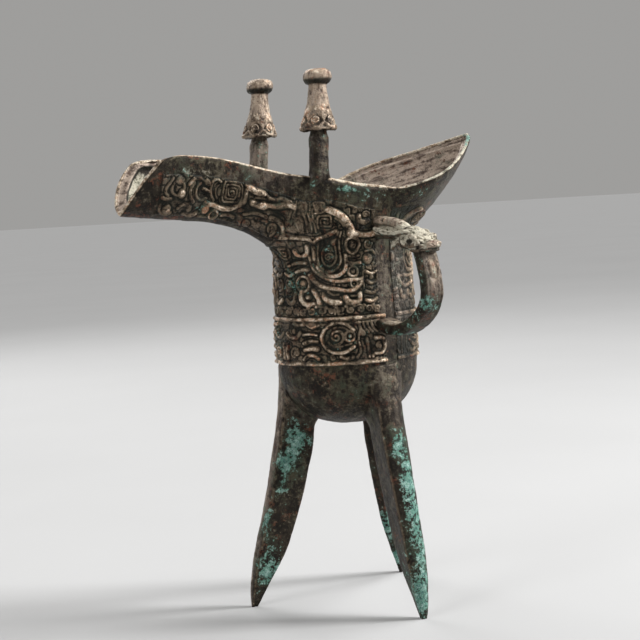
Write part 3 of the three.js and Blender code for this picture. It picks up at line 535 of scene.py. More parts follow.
def carve_mask():
    """Half of the animal mask: across from the handle's plane, and up from the ground."""
    c = Carving((0, UPPER_LOW), (QUARTER, 172))
    # Nose ridge, which only the far side shows
    c.line((0.7, 118), (0.7, 157), width=1.5, height=1.15)
    # Eye with its ring, and the bars under it
    c.ring((12.3, 143.2), 2.75, 1.1, 1.0)
    c.boss((12.3, 143.3), 1.5, 1.3)
    c.line((9.8, 139.2), (14.4, 139.4), width=0.9, height=0.8)
    c.line((9.6, 136.5), (12, 136.2), (15, 136.7), width=1.5, height=1.15)
    c.ring((12.7, 133.2), 1.9, 1.0, 0.95)
    c.boss((12.7, 133.2), 0.9, 0.9)
    # Horn over the eye, and the brow that meets it
    c.line((12.6, 147.6), (12.9, 150.2), (14.6, 153.0), (17.4, 155.4), (20.6, 157.4), width=2.7, height=1.5)
    c.line((15.2, 150.6), (16.4, 152.2), (18.4, 153.6), width=0.9, height=0.8)
    c.line((2.6, 147.5), (6, 147.0), (9.5, 147.1), (12.8, 147.9), width=2.0, height=1.35)
    c.line((9.6, 149.6), (9.6, 154.6), width=0.9, height=0.8)
    c.line((5.2, 151.9), (7.2, 151.4), (8.8, 152.2), (9, 154), width=1.7, height=1.2)
    c.spiral((6.4, 154.4), 1.6, 1.4, 1.0, width=0.85, height=0.8)
    c.line((18.4, 148.9), (21.5, 147.8), (25, 146.6), (27.4, 145.1), width=1.5, height=1.3)
    c.line((27.4, 145.1), (29, 146.4), (32, 147.2), (35.5, 147.8), (40.5, 148.4), width=1.5, height=1.3)
    c.boss((19.9, 144.9), 1.3, 1.25)
    c.line((17.6, 148.6), (18.6, 146.4), (19.4, 145.2), width=1.0, height=0.9)
    # Jaw: nested hooks that hang from the brow and curl up round a spiral
    c.line((19.2, 143.2), (19.0, 139.4), (19.6, 137.0), (21.3, 135.7), (23.3, 136.2), (24.4, 138.2),
           (24.4, 140.8), (23.2, 142.8), width=0.85, height=0.85)
    c.spiral((21.8, 139.0), 1.9, 1.6, 0.5, width=0.75, height=0.85)
    c.line((16.4, 148.6), (17.4, 145.4), (17.5, 140), (17.6, 136.6), (18.9, 134.6), (21.8, 133.9),
           (24.6, 135.0), (26.0, 137.7), (26.2, 141.5), (25.6, 144.4), width=0.95, height=0.95)
    c.line((15.5, 139.6), (15.5, 135.4), (16.6, 132.9), (19.5, 132.1), (23, 132.5), (26, 134.7),
           (27.6, 138), (27.9, 143), width=1.6, height=1.25)
    c.line((9.4, 130.4), (12, 130.0), (15.6, 130.0), (19, 130.0), (22.5, 130.6), (26, 132.4), (28.6, 135.3),
           (29.7, 139.6), width=1.35, height=1.2)
    c.line((9.8, 129.4), (10.4, 127.9), (12.8, 126.6), (16, 126.1), (20, 126.8), (24.2, 127.9),
           (27.4, 129.8), (29.6, 132.6), width=1.55, height=1.3)
    c.boss((20.6, 128.7), 1.0, 0.95)
    c.ring((12.5, 128.6), 1.2, 0.75, 0.8)
    # Teeth and claws under the jaw
    c.line((10.3, 124.6), (10.6, 122.3), (12.8, 121.5), (15.3, 121.9), (16.4, 123.6), width=2.0, height=1.35)
    c.line((12.0, 124.2), (14.2, 124.0), width=1.0, height=0.85)
    c.line((18.7, 121.9), (21, 121.9), (23.3, 123.0), (25.0, 125.0), width=2.1, height=1.35)
    c.line((18.8, 124.7), (20.8, 124.7), (22.8, 126), width=0.85, height=0.85)
    c.line((26.3, 121.8), (27.0, 124), (28.7, 126.8), width=1.9, height=1.3)
    c.line((28.6, 121.7), (30.8, 121.3), (32.8, 122.2), (33.9, 124.4), (33.4, 126.6), width=1.8, height=1.3)
    c.boss((30.8, 124.2), 1.2, 1.0)
    for k, across in enumerate(np.arange(3.4, 42, 3.7)):
        c.spiral((across, 118.8), 1.55, 1.35, 1.6 * k, 0.3, 1 if k % 2 else -1, 0.85, 0.85)
        c.boss((across + 1.9, 120.2), 0.8, 0.95)
    # Ear and flank between the eye and the handle
    c.boss((6.2, 137.6), 1.9, 1.3)
    c.line((3.2, 139.6), (4.6, 141.0), (6.8, 140.6), width=1.2, height=1.0)
    c.line((2.6, 133.0), (5, 132.2), (7.6, 133.0), width=1.3, height=1.05)
    c.line((1.9, 131.6), (2.6, 129.2), (5, 128.3), (7.2, 129.4), width=1.3, height=1.05)
    c.boss((5.0, 130.6), 1.1, 1.05)
    c.line((3.0, 125.6), (5.2, 124.4), (7.8, 125.2), width=1.3, height=1.05)
    c.line((3.4, 122.4), (5.4, 121.6), (7.8, 122.2), width=1.3, height=1.05)
    c.spiral((5.8, 143.6), 2.0, 1.5, 0.0, hand=-1, width=0.95, height=0.95)
    c.line((8.6, 126.4), (8.8, 131), (8.4, 135), width=0.85, height=0.7)
    # Body that runs towards the spout
    c.ring((33.0, 129.4), 2.9, 1.2, 1.1)
    c.boss((33.0, 129.4), 1.6, 1.25)
    c.line((30.2, 143.6), (30.6, 141.2), (32.6, 140.1), (34.6, 140.6), (35.4, 142.4), width=1.7, height=1.25)
    c.line((30.6, 134.6), (33.2, 134.9), (36, 134.0), width=1.4, height=1.1)
    c.line((31.6, 137.2), (35.2, 137.4), (39.4, 136.4), width=1.3, height=1.1)
    c.line((37.6, 133.2), (39.6, 132.6), (41.8, 133.6), width=1.3, height=1.1)
    c.spiral((39.4, 141.8), 2.6, 1.8, 1.0, 0.4, width=0.95, height=1.0)
    c.spiral((39.4, 129.0), 2.3, 1.7, 2.6, 0.4, -1, 0.95, 1.0)
    c.line((36.4, 125.8), (37.2, 122.8), (39.4, 121.9), (41.6, 123.2), width=1.6, height=1.15)
    # Square spirals over the brow, and the crest that runs to the spout
    for k, (across, up, size) in enumerate([(22.2, 152.6, 2.9), (36.4, 153.4, 2.6), (41.0, 152.8, 2.2),
                                            (24.0, 158.4, 2.2), (29.4, 159.2, 2.0), (34.6, 158.8, 2.2)]):
        c.spiral((across, up), size, 2.1, QUARTER_TURN * k, 0.85, 1 if k % 2 else -1, 0.85, 0.85)
    for k in range(5):
        c.line((26.2 + 1.35 * k, 149.0), (26.4 + 1.35 * k, 156.4), width=0.8, height=0.75)
    c.line((36.6, 149.8), (38.2, 150.6), (41.8, 150.4), width=1.2, height=1.0)
    c.thread(2.75)
    c.soften(2)
    return c


def carve_lower():
    """Half of the lower band, between its two cord ridges."""
    c = Carving((0, LOWER_LOW), (QUARTER, 117))
    # Round eye of a coiled dragon, with its lids
    c.spiral((20.4, 108.8), 2.9, 1.7, 0.6, width=0.95, height=1.0)
    c.ring((15.6, 108.8), 1.9, 1.0, 1.0)
    c.boss((15.6, 108.8), 0.9, 0.9)
    c.line((14.2, 104.6), (16.4, 103.2), (19.5, 102.7), (23, 103.3), (25.3, 105.6), (26.0, 108.8),
           (25.0, 111.6), width=1.5, height=1.3)
    c.line((15.2, 105.8), (18.4, 105.2), (21.6, 105.4), (23.4, 107.0), width=0.9, height=0.9)
    c.line((13.9, 111.2), (15.8, 113.0), (18.8, 113.9), (22, 113.7), (24, 112.4), width=1.5, height=1.25)
    c.line((16.2, 111.2), (18.6, 112.2), (21.2, 112.0), width=0.9, height=0.9)
    c.line((14.4, 101.0), (16.8, 100.4), (19, 101.0), width=1.5, height=1.15)
    c.spiral((22.2, 100.7), 1.2, 1.2, 0.4, width=0.8, height=0.8)
    c.line((11.2, 111.6), (12.0, 107.4), (11.6, 103.2), (12.8, 100.6), width=1.0, height=0.95)
    # Body: bars and curls
    for up, width in ((109.9, 1.2), (106.9, 1.5), (104.2, 1.7)):
        c.line((28.0, up), (30.4, up + 0.4), (33.2, up - 0.1), width=width, height=1.2)
    c.line((27.4, 100.7), (29.6, 102.0), (32.2, 101.6), (33.6, 100.4), width=1.5, height=1.15)
    c.line((27.0, 113.6), (29.4, 112.8), (31.6, 113.6), width=1.2, height=1.0)
    c.line((33.4, 113.9), (35.6, 113.3), (37.8, 113.9), width=1.5, height=1.15)
    c.spiral((37.4, 103.2), 2.2, 1.5, 2.0, 0.3, -1, 1.0, 1.05)
    c.line((34.6, 110.6), (36.8, 108.8), (39.6, 108.9), (41.4, 110.6), width=1.4, height=1.15)
    c.boss((37.8, 111.3), 1.0, 1.0)
    c.line((41.4, 106.2), (41.8, 103.4), (41.2, 100.6), width=1.2, height=1.0)
    # Tail feathers and a curl beside the handle
    for k in range(4):
        c.line((4.4 + 1.7 * k, 109.9), (6.0 + 1.7 * k, 111.6), (6.8 + 1.7 * k, 114.0), width=0.95, height=0.95)
    c.boss((10.2, 109.6), 1.2, 1.2)
    c.line((5.4, 101.4), (2.6, 101.5), (0.9, 104.2), (2.2, 107.2), (5.2, 107.6), width=1.4, height=1.2)
    c.spiral((3.8, 104.6), 1.4, 1.2, 0.4, width=0.9, height=0.95)
    c.line((8.4, 100.4), (8.2, 104), (8.6, 107.6), width=1.1, height=1.0)
    c.boss((6.6, 100.6), 0.9, 0.9)
    c.thread(2.45)
    for up, width in ((98.4, 1.6), (115.7, 1.6)):
        c.stroke([(-2, up), (QUARTER + 2, up)], width, 1.3)
    c.stroke([(-2, 113.9), (QUARTER + 2, 113.9)], 0.8, 0.8)
    c.soften(2)
    return c


def carve_spout():
    """The side of the spout: along from the cup's axis, and up from the keel in shares of its height."""
    tall = SPOUT_TALL
    c = Carving((14, 0), (90, tall))

    def line(*points, **more):
        c.line(*[(s, share * tall) for s, share in points], **more)

    def spiral(s, share, *rest, **more):
        c.spiral((s, share * tall), *rest, **more)

    # Coiled eye of the dragon, and the lid that cups it
    spiral(55.9, 0.525, 4.3, 3.6, 0.4, 0.75, width=0.72, height=0.9)
    line((65.2, 0.3), (62, 0.285), (58, 0.27), (54.5, 0.285), (51.8, 0.36), (50.3, 0.47), (50.2, 0.64), width=1.6,
         height=1.3)
    line((60.9, 0.66), (62.2, 0.69), (63.9, 0.65), (64.6, 0.55), (64.2, 0.44), (62.8, 0.36), width=1.0, height=1.0)
    line((61.4, 0.6), (62.4, 0.56), (62.3, 0.46), (61.4, 0.4), width=0.75, height=0.8)
    # Snout that runs back to the cup
    line((50.0, 0.73), (48.4, 0.675), (46.0, 0.645), (43.6, 0.64), width=2.1, height=1.45)
    line((43.4, 0.66), (41, 0.61), (38.4, 0.62), (36, 0.66), (33, 0.655), width=1.1, height=1.0)
    line((47.2, 0.455), (44.8, 0.45), (42.2, 0.465), width=2.2, height=1.45)
    line((41.6, 0.47), (39, 0.51), (36.4, 0.565), (33.6, 0.605), (31.4, 0.61), width=1.7, height=1.35)
    line((46.2, 0.555), (43.6, 0.56), (41, 0.57), width=0.85, height=0.8)
    line((38.6, 0.335), (36.2, 0.34), (34, 0.3), (33, 0.245), width=1.6, height=1.25)
    line((49, 0.24), (46.4, 0.3), (43, 0.33), (40.4, 0.33), width=1.1, height=0.95)
    c.boss((46.6, 0.13 * tall), 1.3, 1.0)
    spiral(37.2, 0.2, 2.0, 1.6, 0.5, width=0.85, height=0.85)
    line((32.2, 0.2), (30, 0.23), (27, 0.25), (24, 0.3), (20.6, 0.345), width=1.5, height=1.25)
    spiral(27.6, 0.11, 1.9, 1.5, 0.5, width=0.95, height=0.95)
    line((30.9, 0.68), (30.7, 0.5), (30.8, 0.34), width=0.8, height=0.75)
    for k, (s, share, size) in enumerate([(28.2, 0.6, 1.9), (23.6, 0.6, 2.1), (28.0, 0.42, 1.8), (23.4, 0.44, 1.9),
                                          (19.2, 0.55, 2.0)]):
        spiral(s, share, size, 1.9, QUARTER_TURN * k, 0.85, 1 if k % 2 else -1, width=0.75, height=0.8)
    # Curls and bosses in front of the eye
    line((73.4, 0.575), (71.6, 0.66), (69, 0.685), (66.9, 0.665), width=1.3, height=1.15)
    line((66.6, 0.64), (65.9, 0.63), width=1.9, height=1.3)
    line((71.4, 0.6), (72.6, 0.5), (71.8, 0.38), (70.2, 0.3), width=1.1, height=1.0)
    line((68.9, 0.6), (70.1, 0.52), (69.6, 0.41), (67.6, 0.34), (65.6, 0.38), width=1.0, height=0.95)
    line((67.4, 0.52), (65.6, 0.5), width=1.3, height=1.2)
    c.boss((75.9, 0.42 * tall), 1.55, 1.35)
    c.boss((77.0, 0.63 * tall), 1.6, 1.2)
    c.ring((77.6, 0.51 * tall), 2.5, 0.9, 0.9)
    line((80.0, 0.66), (81.9, 0.55), (82.0, 0.44), (80.8, 0.38), width=1.1, height=1.0)
    line((83.0, 0.35), (81.4, 0.32), (79.6, 0.33), width=1.3, height=1.15)
    c.boss((80.3, 0.17 * tall), 1.7, 1.35)
    line((83.2, 0.24), (83.0, 0.14), (80.6, 0.08), (78.0, 0.13), width=0.95, height=0.9)
    line((75.8, 0.2), (74.4, 0.27), (72.0, 0.27), width=1.2, height=1.05)
    c.boss((71.3, 0.2 * tall), 1.2, 1.1)
    line((73.2, 0.12), (70.4, 0.1), (68.0, 0.14), width=1.2, height=1.0)
    c.boss((65.0, 0.22 * tall), 1.9, 1.35)
    c.ring((60.8, 0.15 * tall), 1.5, 0.95, 0.95)
    line((57.6, 0.15), (55, 0.18), (52.4, 0.16), width=1.1, height=0.95)
    c.thread(2.45, clear=0.4)
    c.pit((67.9, 0.715 * tall), 1.15, 1.3)
    c.soften(2)
    return c


# Shader building


class Number:
    """A socket that holds one number, with the usual signs of arithmetic."""

    def __init__(self, paint, socket):
        self.paint, self.socket = paint, socket

    def math(self, operation, *others):
        """A Math node on this number and others."""
        return self.paint.add("ShaderNodeMath", {"operation": operation}, self, *others)

    def __add__(self, other):
        return self.math("ADD", other)

    def __sub__(self, other):
        return self.math("SUBTRACT", other)

    def __mul__(self, other):
        return self.math("MULTIPLY", other)

    def __rsub__(self, other):
        return self.paint.add("ShaderNodeMath", {"operation": "SUBTRACT"}, other, self)

    __radd__ = __add__
    __rmul__ = __mul__

    def most(self, other):
        return self.math("MAXIMUM", other)

    def least(self, other):
        return self.math("MINIMUM", other)

    def between(self, low, high):
        """0 below low, 1 above high, and a soft step between."""
        settings = {"interpolation_type": "SMOOTHSTEP"}
        return self.paint.add("ShaderNodeMapRange", settings, self, low, high, 0.0, 1.0)


class Paint:
    """Builds one material's nodes."""

    def __init__(self, name):
        self.material = bpy.data.materials.new(name)
        self.material.use_nodes = True
        self.tree = self.material.node_tree
        self.shader = self.tree.nodes["Principled BSDF"]
        self.place = self.raw("ShaderNodeTexCoord", {}).outputs["Object"]

    def raw(self, kind, settings, *values, **named):
        """Any node: its settings are set first, then its sockets by order or by name."""
        node = self.tree.nodes.new(kind)
        for key, value in settings.items():
            setattr(node, key, value)
        sockets = [(node.inputs[i], value) for i, value in enumerate(values)]
        sockets += [(node.inputs[key.replace("_", " ")], value) for key, value in named.items()]
        for socket, value in sockets:
            self.plug(socket, value)
        return node

    def plug(self, socket, value):
        """Links a socket, or sets it where the value is plain."""
        if isinstance(value, Number):
            self.tree.links.new(value.socket, socket)
        elif isinstance(value, bpy.types.NodeSocket):
            self.tree.links.new(value, socket)
        elif value is not None:
            socket.default_value = value

    def add(self, kind, settings, *values, output=0, **named):
        """Any node whose output is one number."""
        return Number(self, self.raw(kind, settings, *values, **named).outputs[output])

    def noise(self, place, scale, detail, roughness):
        """Noise around a half, at a place."""
        return self.add("ShaderNodeTexNoise", {}, Vector=place, Scale=scale, Detail=detail, Roughness=roughness)

    def cloud(self, size, detail=4.0, roughness=0.6, shift=0.0):
        """Noise around a half, with blotches of a size in metres."""
        moved = self.raw("ShaderNodeMapping", {}, self.place, (shift, shift, shift))
        return self.noise(moved.outputs[0], 1 / size, detail, roughness)

    def attribute(self, name):
        """One of the numbers that dress gives each point."""
        return self.add("ShaderNodeAttribute", {"attribute_name": name}, output="Fac")

    def edge(self):
        """Over a half on outer edges, under a half in corners."""
        return self.add("ShaderNodeNewGeometry", {}, output="Pointiness")

    def blend(self, amount, below, above):
        """A colour over another, by an amount."""
        node = self.raw("ShaderNodeMix", {"data_type": "RGBA"})
        for socket, value in zip((node.inputs[0], node.inputs[6], node.inputs[7]), (amount, below, above)):
            self.plug(socket, value)
        return node.outputs[2]


def colour(rgb):
    return (*rgb, 1.0)


DULL_SPECULAR = 0.3
BUMP_DEPTH = 0.45 * MM


def bronze(name, tones, wear=1.0, film=1.0, red=0.6):
    """Cast bronze under its patina. The relief attribute says how far a point stands out of the ornament, carved
    whether there is any ornament, and verdigris, pale and earth how much of each has gathered there."""
    p = Paint(name)
    relief, carved, verdigris = p.attribute("relief"), p.attribute("carved"), p.attribute("verdigris")
    pale, earth = p.attribute("pale"), p.attribute("earth")
    edge = p.edge().between(0.5, 0.6)
    broad, mid = p.cloud(0.026, 4, 0.6), p.cloud(0.0072, 5, 0.66, shift=3.1)
    small, fine = p.cloud(0.0027, 5, 0.7, shift=5.3), p.cloud(0.0011, 4, 0.7, shift=7.7)
    speck = p.cloud(0.00045, 2, 0.6, shift=1.3)
    grain = p.raw("ShaderNodeAttribute", {"attribute_name": "grain"}).outputs["Vector"]
    streak = p.noise(grain, 420, 4, 0.6)

    # Dark skin with an olive cast
    skin = p.blend((mid * 0.55 + small * 0.45).between(0.42, 0.58), colour(tones.shadow), colour(tones.skin))
    olive = (small * 0.6 + fine * 0.4 + broad * 0.5).between(0.73, 0.86)
    skin = p.blend(olive * 0.85, skin, colour(tones.olive))
    # Burial earth, with lighter streaks along the grain
    streaky = streak * 0.5 + small * 0.35 + fine * 0.15 + earth * 0.03 - 0.015
    muddy = p.blend(streaky.between(0.43, 0.56), colour(tones.earth), colour(tones.dry))
    skin = p.blend((earth * (small + earth * 0.16).between(0.32, 0.5)).least(1.0), skin, muddy)
    fleck = (small * 0.55 + fine * 0.45).between(0.54, 0.64) * 0.3
    skin = p.blend(fleck, skin, colour(tones.dry))
    skin = p.blend(relief.between(0.25, 0.75) * carved * small.between(0.36, 0.52) * 0.46, skin, colour(tones.worn))
    # Red oxide, dark green moss, and dirt in the ground of the ornament
    rust = (p.cloud(0.006, 5, 0.7, shift=9.4) * 0.6 + fine * 0.4).between(0.545, 0.62) * red
    skin = p.blend(rust, skin, colour(tones.rust))
    moss = (mid * 0.5 + small * 0.35 + fine * 0.25 + broad * 0.35 + verdigris * 0.1).between(0.76, 0.86)
    skin = p.blend(moss * 0.8 * film, skin, colour(tones.moss))
    groove = (1 - relief.between(0.12, 0.6)) * carved
    skin = p.blend(groove * 0.8, skin, colour(tones.groove))
    # Metal rubbed bare on the high points, with a painted highlight in the palest spots near the crests
    rubbing = relief.between(0.6, 1.25) * carved + edge * 0.5
    patchy = mid * 0.8 + small * 0.9 + fine * 0.7 + broad * 0.9 - 1.65
    worn = (rubbing * 0.66 + patchy * 1.25).between(0.34, 0.78) * rubbing.between(0.05, 0.3) * wear
    bare = p.blend((mid * 0.6 + small * 0.4).between(0.47, 0.57), colour(tones.worn), colour(tones.rubbed))
    # Palest spots near the crests: bare metal, and a painted highlight
    bare = p.blend((fine + small + relief * 0.12).between(1.1, 1.28) * 0.9, bare, colour(tones.bright))
    skin = p.blend(worn, skin, bare)
    # Pale bloom
    chalk = (pale * 0.42 + mid * 0.6 + small * 0.6 + fine * 0.4).between(0.98, 1.2) * pale.between(0.0, 0.3)
    chalk_tone = p.blend((small * 0.6 + fine * 0.4).between(0.38, 0.52), colour(tones.lichen), colour(tones.pale))
    skin = p.blend(chalk * 0.9, skin, chalk_tone)
    # Malachite, over blotches of the dark skin
    gathered = verdigris * 0.35 + mid * 0.8 + small * 1.15 + fine * 1.0 - 1.16
    bloom = gathered.between(0.66, 0.74)
    blotch = 1 - (small * 0.5 + fine * 0.5).between(0.38, 0.47)
    skin = p.blend((blotch * (0.6 - earth * 0.36)).most(0.0), skin, colour(tones.shadow))
    crystal = p.blend(fine.between(0.42, 0.6), colour(tones.turquoise), colour(tones.malachite))
    crystal = p.blend((speck * 0.5 + small * 0.6).between(0.56, 0.66), crystal, colour(tones.frost))
    skin = p.blend(bloom * 0.92, skin, crystal)
    # Corrosion pits
    pits = (speck * 0.6 + fine * 0.5).between(0.6, 0.68)
    skin = p.blend(pits * 0.7, skin, colour(tones.shadow))
    p.plug(p.shader.inputs["Base Color"], skin)
    dull = bloom.most(chalk * 0.7).most(moss * 0.5 * film)
    p.plug(p.shader.inputs["Roughness"], (fine * 0.25 + dull * 0.3 - worn * 0.12 + 0.36).least(1.0))
    p.plug(p.shader.inputs["Metallic"], (1 - dull) * 0.55)
    p.plug(p.shader.inputs["Specular IOR Level"], DULL_SPECULAR)
    height = fine * 0.7 + speck * 0.4 + small * 0.9 + bloom * 0.55 - pits * 0.35 - blotch * 0.2
    bump = p.raw("ShaderNodeBump", {}, Strength=0.8, Distance=BUMP_DEPTH, Height=height)
    p.plug(p.shader.inputs["Normal"], bump.outputs[0])
    return p.material


def plain(name, rgb, roughness):
    """A matt paint that is hardly uneven."""
    p = Paint(name)
    uneven = p.blend(p.cloud(0.3, 3).between(0.3, 0.7), colour(rgb), colour([c * 0.97 for c in rgb]))
    p.plug(p.shader.inputs["Base Color"], uneven)
    p.plug(p.shader.inputs["Roughness"], roughness)
    return p.material


# Geometry Nodes


class Tree:
    """A small builder for a Geometry Nodes tree with named inputs."""

    def __init__(self, name):
        self.tree = bpy.data.node_groups.new(name, "GeometryNodeTree")
        face = self.tree.interface
        face.new_socket("Geometry", in_out="INPUT", socket_type="NodeSocketGeometry")
        face.new_socket("Geometry", in_out="OUTPUT", socket_type="NodeSocketGeometry")
        self.values = {}
        self.entry = self.out = None

    def input(self, name, kind, value):
        """A named input. Its value is kept under the socket's identifier until the modifier is there."""
        socket = self.tree.interface.new_socket(name, in_out="INPUT", socket_type=kind)
        self.values[socket.identifier] = value

    def begin(self):
        """Closes the list of inputs and starts the nodes."""
        self.entry = self.tree.nodes.new("NodeGroupInput")
        self.out = self.tree.nodes.new("NodeGroupOutput")

    def given(self, name):
        return self.entry.outputs[name]

    def node(self, kind, settings=None, **sockets):
        """Any node: its settings are set first, then its sockets by name."""
        node = self.tree.nodes.new(kind)
        for key, value in (settings or {}).items():
            setattr(node, key, value)
        for key, value in sockets.items():
            socket = node.inputs[key.replace("_", " ")]
            if isinstance(value, bpy.types.NodeSocket):
                self.tree.links.new(value, socket)
            else:
                socket.default_value = value
        return node

    def finish(self, thing, geometry, material):
        """Realizes the result, gives it its material and leaves a plain mesh in place of the modifier."""
        real = self.node("GeometryNodeRealizeInstances", Geometry=geometry)
        dressed = self.node("GeometryNodeSetMaterial", Geometry=real.outputs[0])
        dressed.inputs["Material"].default_value = material
        self.tree.links.new(dressed.outputs[0], self.out.inputs[0])
        modifier = thing.modifiers.new("build", "NODES")
        modifier.node_group = self.tree
        for identifier, value in self.values.items():
            modifier[identifier] = value
        return settle(thing)


def settle(thing):
    """Applies an object's modifiers by way of its evaluated mesh."""
    graph = bpy.context.evaluated_depsgraph_get()
    mesh = bpy.data.meshes.new_from_object(thing.evaluated_get(graph))
    thing.modifiers.clear()
    old, thing.data = thing.data, mesh
    bpy.data.meshes.remove(old)
    mesh.name = thing.name
    mesh.shade_smooth()
    return thing


def finish_piece(thing, material, slot, *nodes):
    """Gives a piece its material and its place in the frame."""
    thing.data.materials.clear()
    thing.data.materials.append(material)
    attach(thing, "root")
    if nodes:
        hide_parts(*nodes)


# Settings


class JueSizes(bpy.types.PropertyGroup):
    """How finely and how deeply the vessel is made"""
    columns: bpy.props.IntProperty(
        name="Columns", description="Columns of the vessel's mesh round half the rim", default=170, min=24)
    rows: bpy.props.IntProperty(
        name="Rows", description="Rows of the vessel's mesh up its outside", default=120, min=16)
    weave: bpy.props.FloatProperty(
        name="Relief step", description="Distance between the points of a carved frieze, in millimetres",
        default=0.225, min=0.15, max=1.0)
    relief: bpy.props.FloatProperty(
        name="Relief", description="How far the ornament stands out, as a share of its full height",
        default=1.0, min=0.0, max=1.5)
    skin: bpy.props.FloatProperty(
        name="Skin depth", description="Unevenness of the cast skin, in millimetres", default=0.16, min=0.0)


def tint(name, description, default):
    """A colour that the user can change."""
    return bpy.props.FloatVectorProperty(
        name=name, description=description, subtype="COLOR", size=3, min=0, max=1, default=default)


class JueTones(bpy.types.PropertyGroup):
    """Colours of the bronze, its patina and the floor"""
    shadow: tint("Shadow", "Darkest skin of the bronze", (0.011, 0.0085, 0.006))
    skin: tint("Skin", "Brown-black skin of the bronze", (0.04, 0.031, 0.021))
    olive: tint("Olive", "Olive cast over the skin", (0.088, 0.076, 0.047))
    rust: tint("Rust", "Red copper oxide", (0.17, 0.062, 0.035))
    groove: tint("Groove", "Dirt in the ground of the ornament", (0.016, 0.018, 0.014))
    rubbed: tint("Rubbed", "Redder metal on the high points", (0.42, 0.215, 0.12))
    worn: tint("Worn", "Tan metal on the high points", (0.37, 0.275, 0.185))
    # Bare metal, and also the painted highlight near the crests
    bright: tint("Bright", "Palest metal on the high points", (0.8, 0.68, 0.54))
    lichen: tint("Lichen", "Greener shade of the pale bloom", (0.25, 0.25, 0.175))
    pale: tint("Pale", "Pale mineral bloom", (0.6, 0.56, 0.45))
    earth: tint("Earth", "Purple-brown burial earth", (0.1, 0.07, 0.055))
    # Its paleness is also painted light on the inside of the tail
    dry: tint("Dry earth", "Lighter streaks in the earth", (0.49, 0.395, 0.32))
    moss: tint("Moss", "Dark green patina", (0.033, 0.054, 0.034))
    turquoise: tint("Turquoise", "Deeper malachite", (0.06, 0.165, 0.145))
    malachite: tint("Malachite", "Bright malachite", (0.15, 0.33, 0.255))
    frost: tint("Frost", "Palest crust on the malachite", (0.38, 0.56, 0.5))
    floor: tint("Floor", "Pale floor", (0.46, 0.46, 0.46))


def sizes():
    return bpy.context.scene.jue_sizes


def tones():
    return bpy.context.scene.jue_tones


# Pieces

LIP_ARCS = 5  # lines of points over the lip, between its two edges
OUTER_GATHER, INNER_GATHER = 1.1, 1.5  # how strongly the rows of points gather towards the rim
FAR = 99.0


def raise_band(inner):
    """Lifts the band inside the rim out of the inner wall, and says how far each point is from the rim."""
    to_rim = np.linalg.norm(inner - inner[:, -1:], axis=-1)
    mouth = smooth(-SPOUT_REACH + SPOUT_SLANT * 1.6, -SPOUT_REACH + SPOUT_SLANT * 0.4, inner[..., 0])
    bevel = LIP_BEVEL * smooth(LIP_BAND, 0.3, to_rim)
    flat = (LIP_STEP + 0.9) * (1 - smooth(LIP_BAND - 0.5, LIP_BAND + 0.4, to_rim)) * smooth(-1, LIP_BAND, to_rim)
    ridge = LIP_STEP * bell(to_rim - LIP_BAND, 1.1)
    band = mouth * flat + (1 - mouth) * ridge - bevel
    ring_next, ring_last = np.roll(inner, -1, 0), np.roll(inner, 1, 0)
    normals = np.cross(ring_next - ring_last, np.gradient(inner, axis=1))
    normals /= np.maximum(np.linalg.norm(normals, axis=-1, keepdims=True), 1e-6)
    return inner - normals * band[..., None], to_rim


def lip_arcs(outer_edge, inner_edge):
    """Lines of points that round the lip off, from the outer edge over to the inner one."""
    run = np.roll(outer_edge, -1, 0) - np.roll(outer_edge, 1, 0)
    away = np.cross(outer_edge - inner_edge, run)
    away /= np.maximum(np.linalg.norm(away, axis=1, keepdims=True), 1e-6)
    away *= np.sign(np.where(np.abs(away[:, 2:]) > 0.05, away[:, 2:], -away[:, :1]))
    middle_line, half_wall = (outer_edge + inner_edge) / 2, (outer_edge - inner_edge) / 2
    return [middle_line + half_wall * math.cos(t) + away * LIP_CROWN * math.sin(t)
            for t in np.linspace(0, math.pi, LIP_ARCS + 2)[1:-1]]


def vessel_faces(columns, outer_rows, inner_rows):
    """Faces of the wall. Its points are the two poles of the bottom, the outer columns, the inner columns and the
    lines of the lip."""
    first_out = 2
    first_in = first_out + columns * outer_rows
    first_arc = first_in + columns * inner_rows
    faces = sheet_faces(first_out, columns, outer_rows, True)
    faces += [face[::-1] for face in sheet_faces(first_in, columns, inner_rows, True)]
    column = np.arange(columns)
    over_lip = np.stack([
        first_out + (column + 1) * outer_rows - 1,
        *(first_arc + arc * columns + column for arc in range(LIP_ARCS)),
        first_in + (column + 1) * inner_rows - 1,
    ]).tolist()
    for c in range(columns):
        d = (c + 1) % columns
        faces.append([0, first_out + d * outer_rows, first_out + c * outer_rows])
        faces.append([1, first_in + c * inner_rows, first_in + d * inner_rows])
        faces += [[low[c], low[d], high[d], high[c]] for low, high in zip(over_lip, over_lip[1:])]
    return faces, first_in, first_arc


# Place, reach along each axis and strength of each spot
VESSEL_GREEN = [
    ((-15, -28, 164.6), (6, 7, 1.8), 1.35), ((-6, -29, 162.5), (12, 7, 3), 0.5), ((12, -33, 162), (12, 7, 3), 0.4),
    ((62, -10, 181), (9, 8, 5), 0.9), ((-78, -12, 172), (9, 6, 3), 0.5), ((-52, -12, 171), (6, 6, 3), 0.5),
    ((3.5, -26, 92), (2.5, 4, 7), 0.8), ((-10, -24, 90), (2, 5, 5), 0.7), ((27, 6, 97), (5, 12, 7), 0.5),
    ((-20, 26, 166), (12, 8, 4), 1.0), ((20, 30, 150), (14, 10, 10), 0.9), ((-60, 12, 166), (12, 8, 6), 0.8),
    ((-20, 0, 78), (8, 8, 6), 0.3), ((6, 24, 130), (5, 6, 12), 0.6), ((0, -26, 125), (4, 3, 10), 0.55),
]
VESSEL_PALE = [
    ((-70, -13, 172), (10, 5, 3), 0.6), ((2, -26, 128), (5, 3, 14), 0.4), ((-6, -26, 91), (1.5, 4, 3.5), 0.8),
    ((1, -26, 90), (2, 4, 4), 0.7),
]
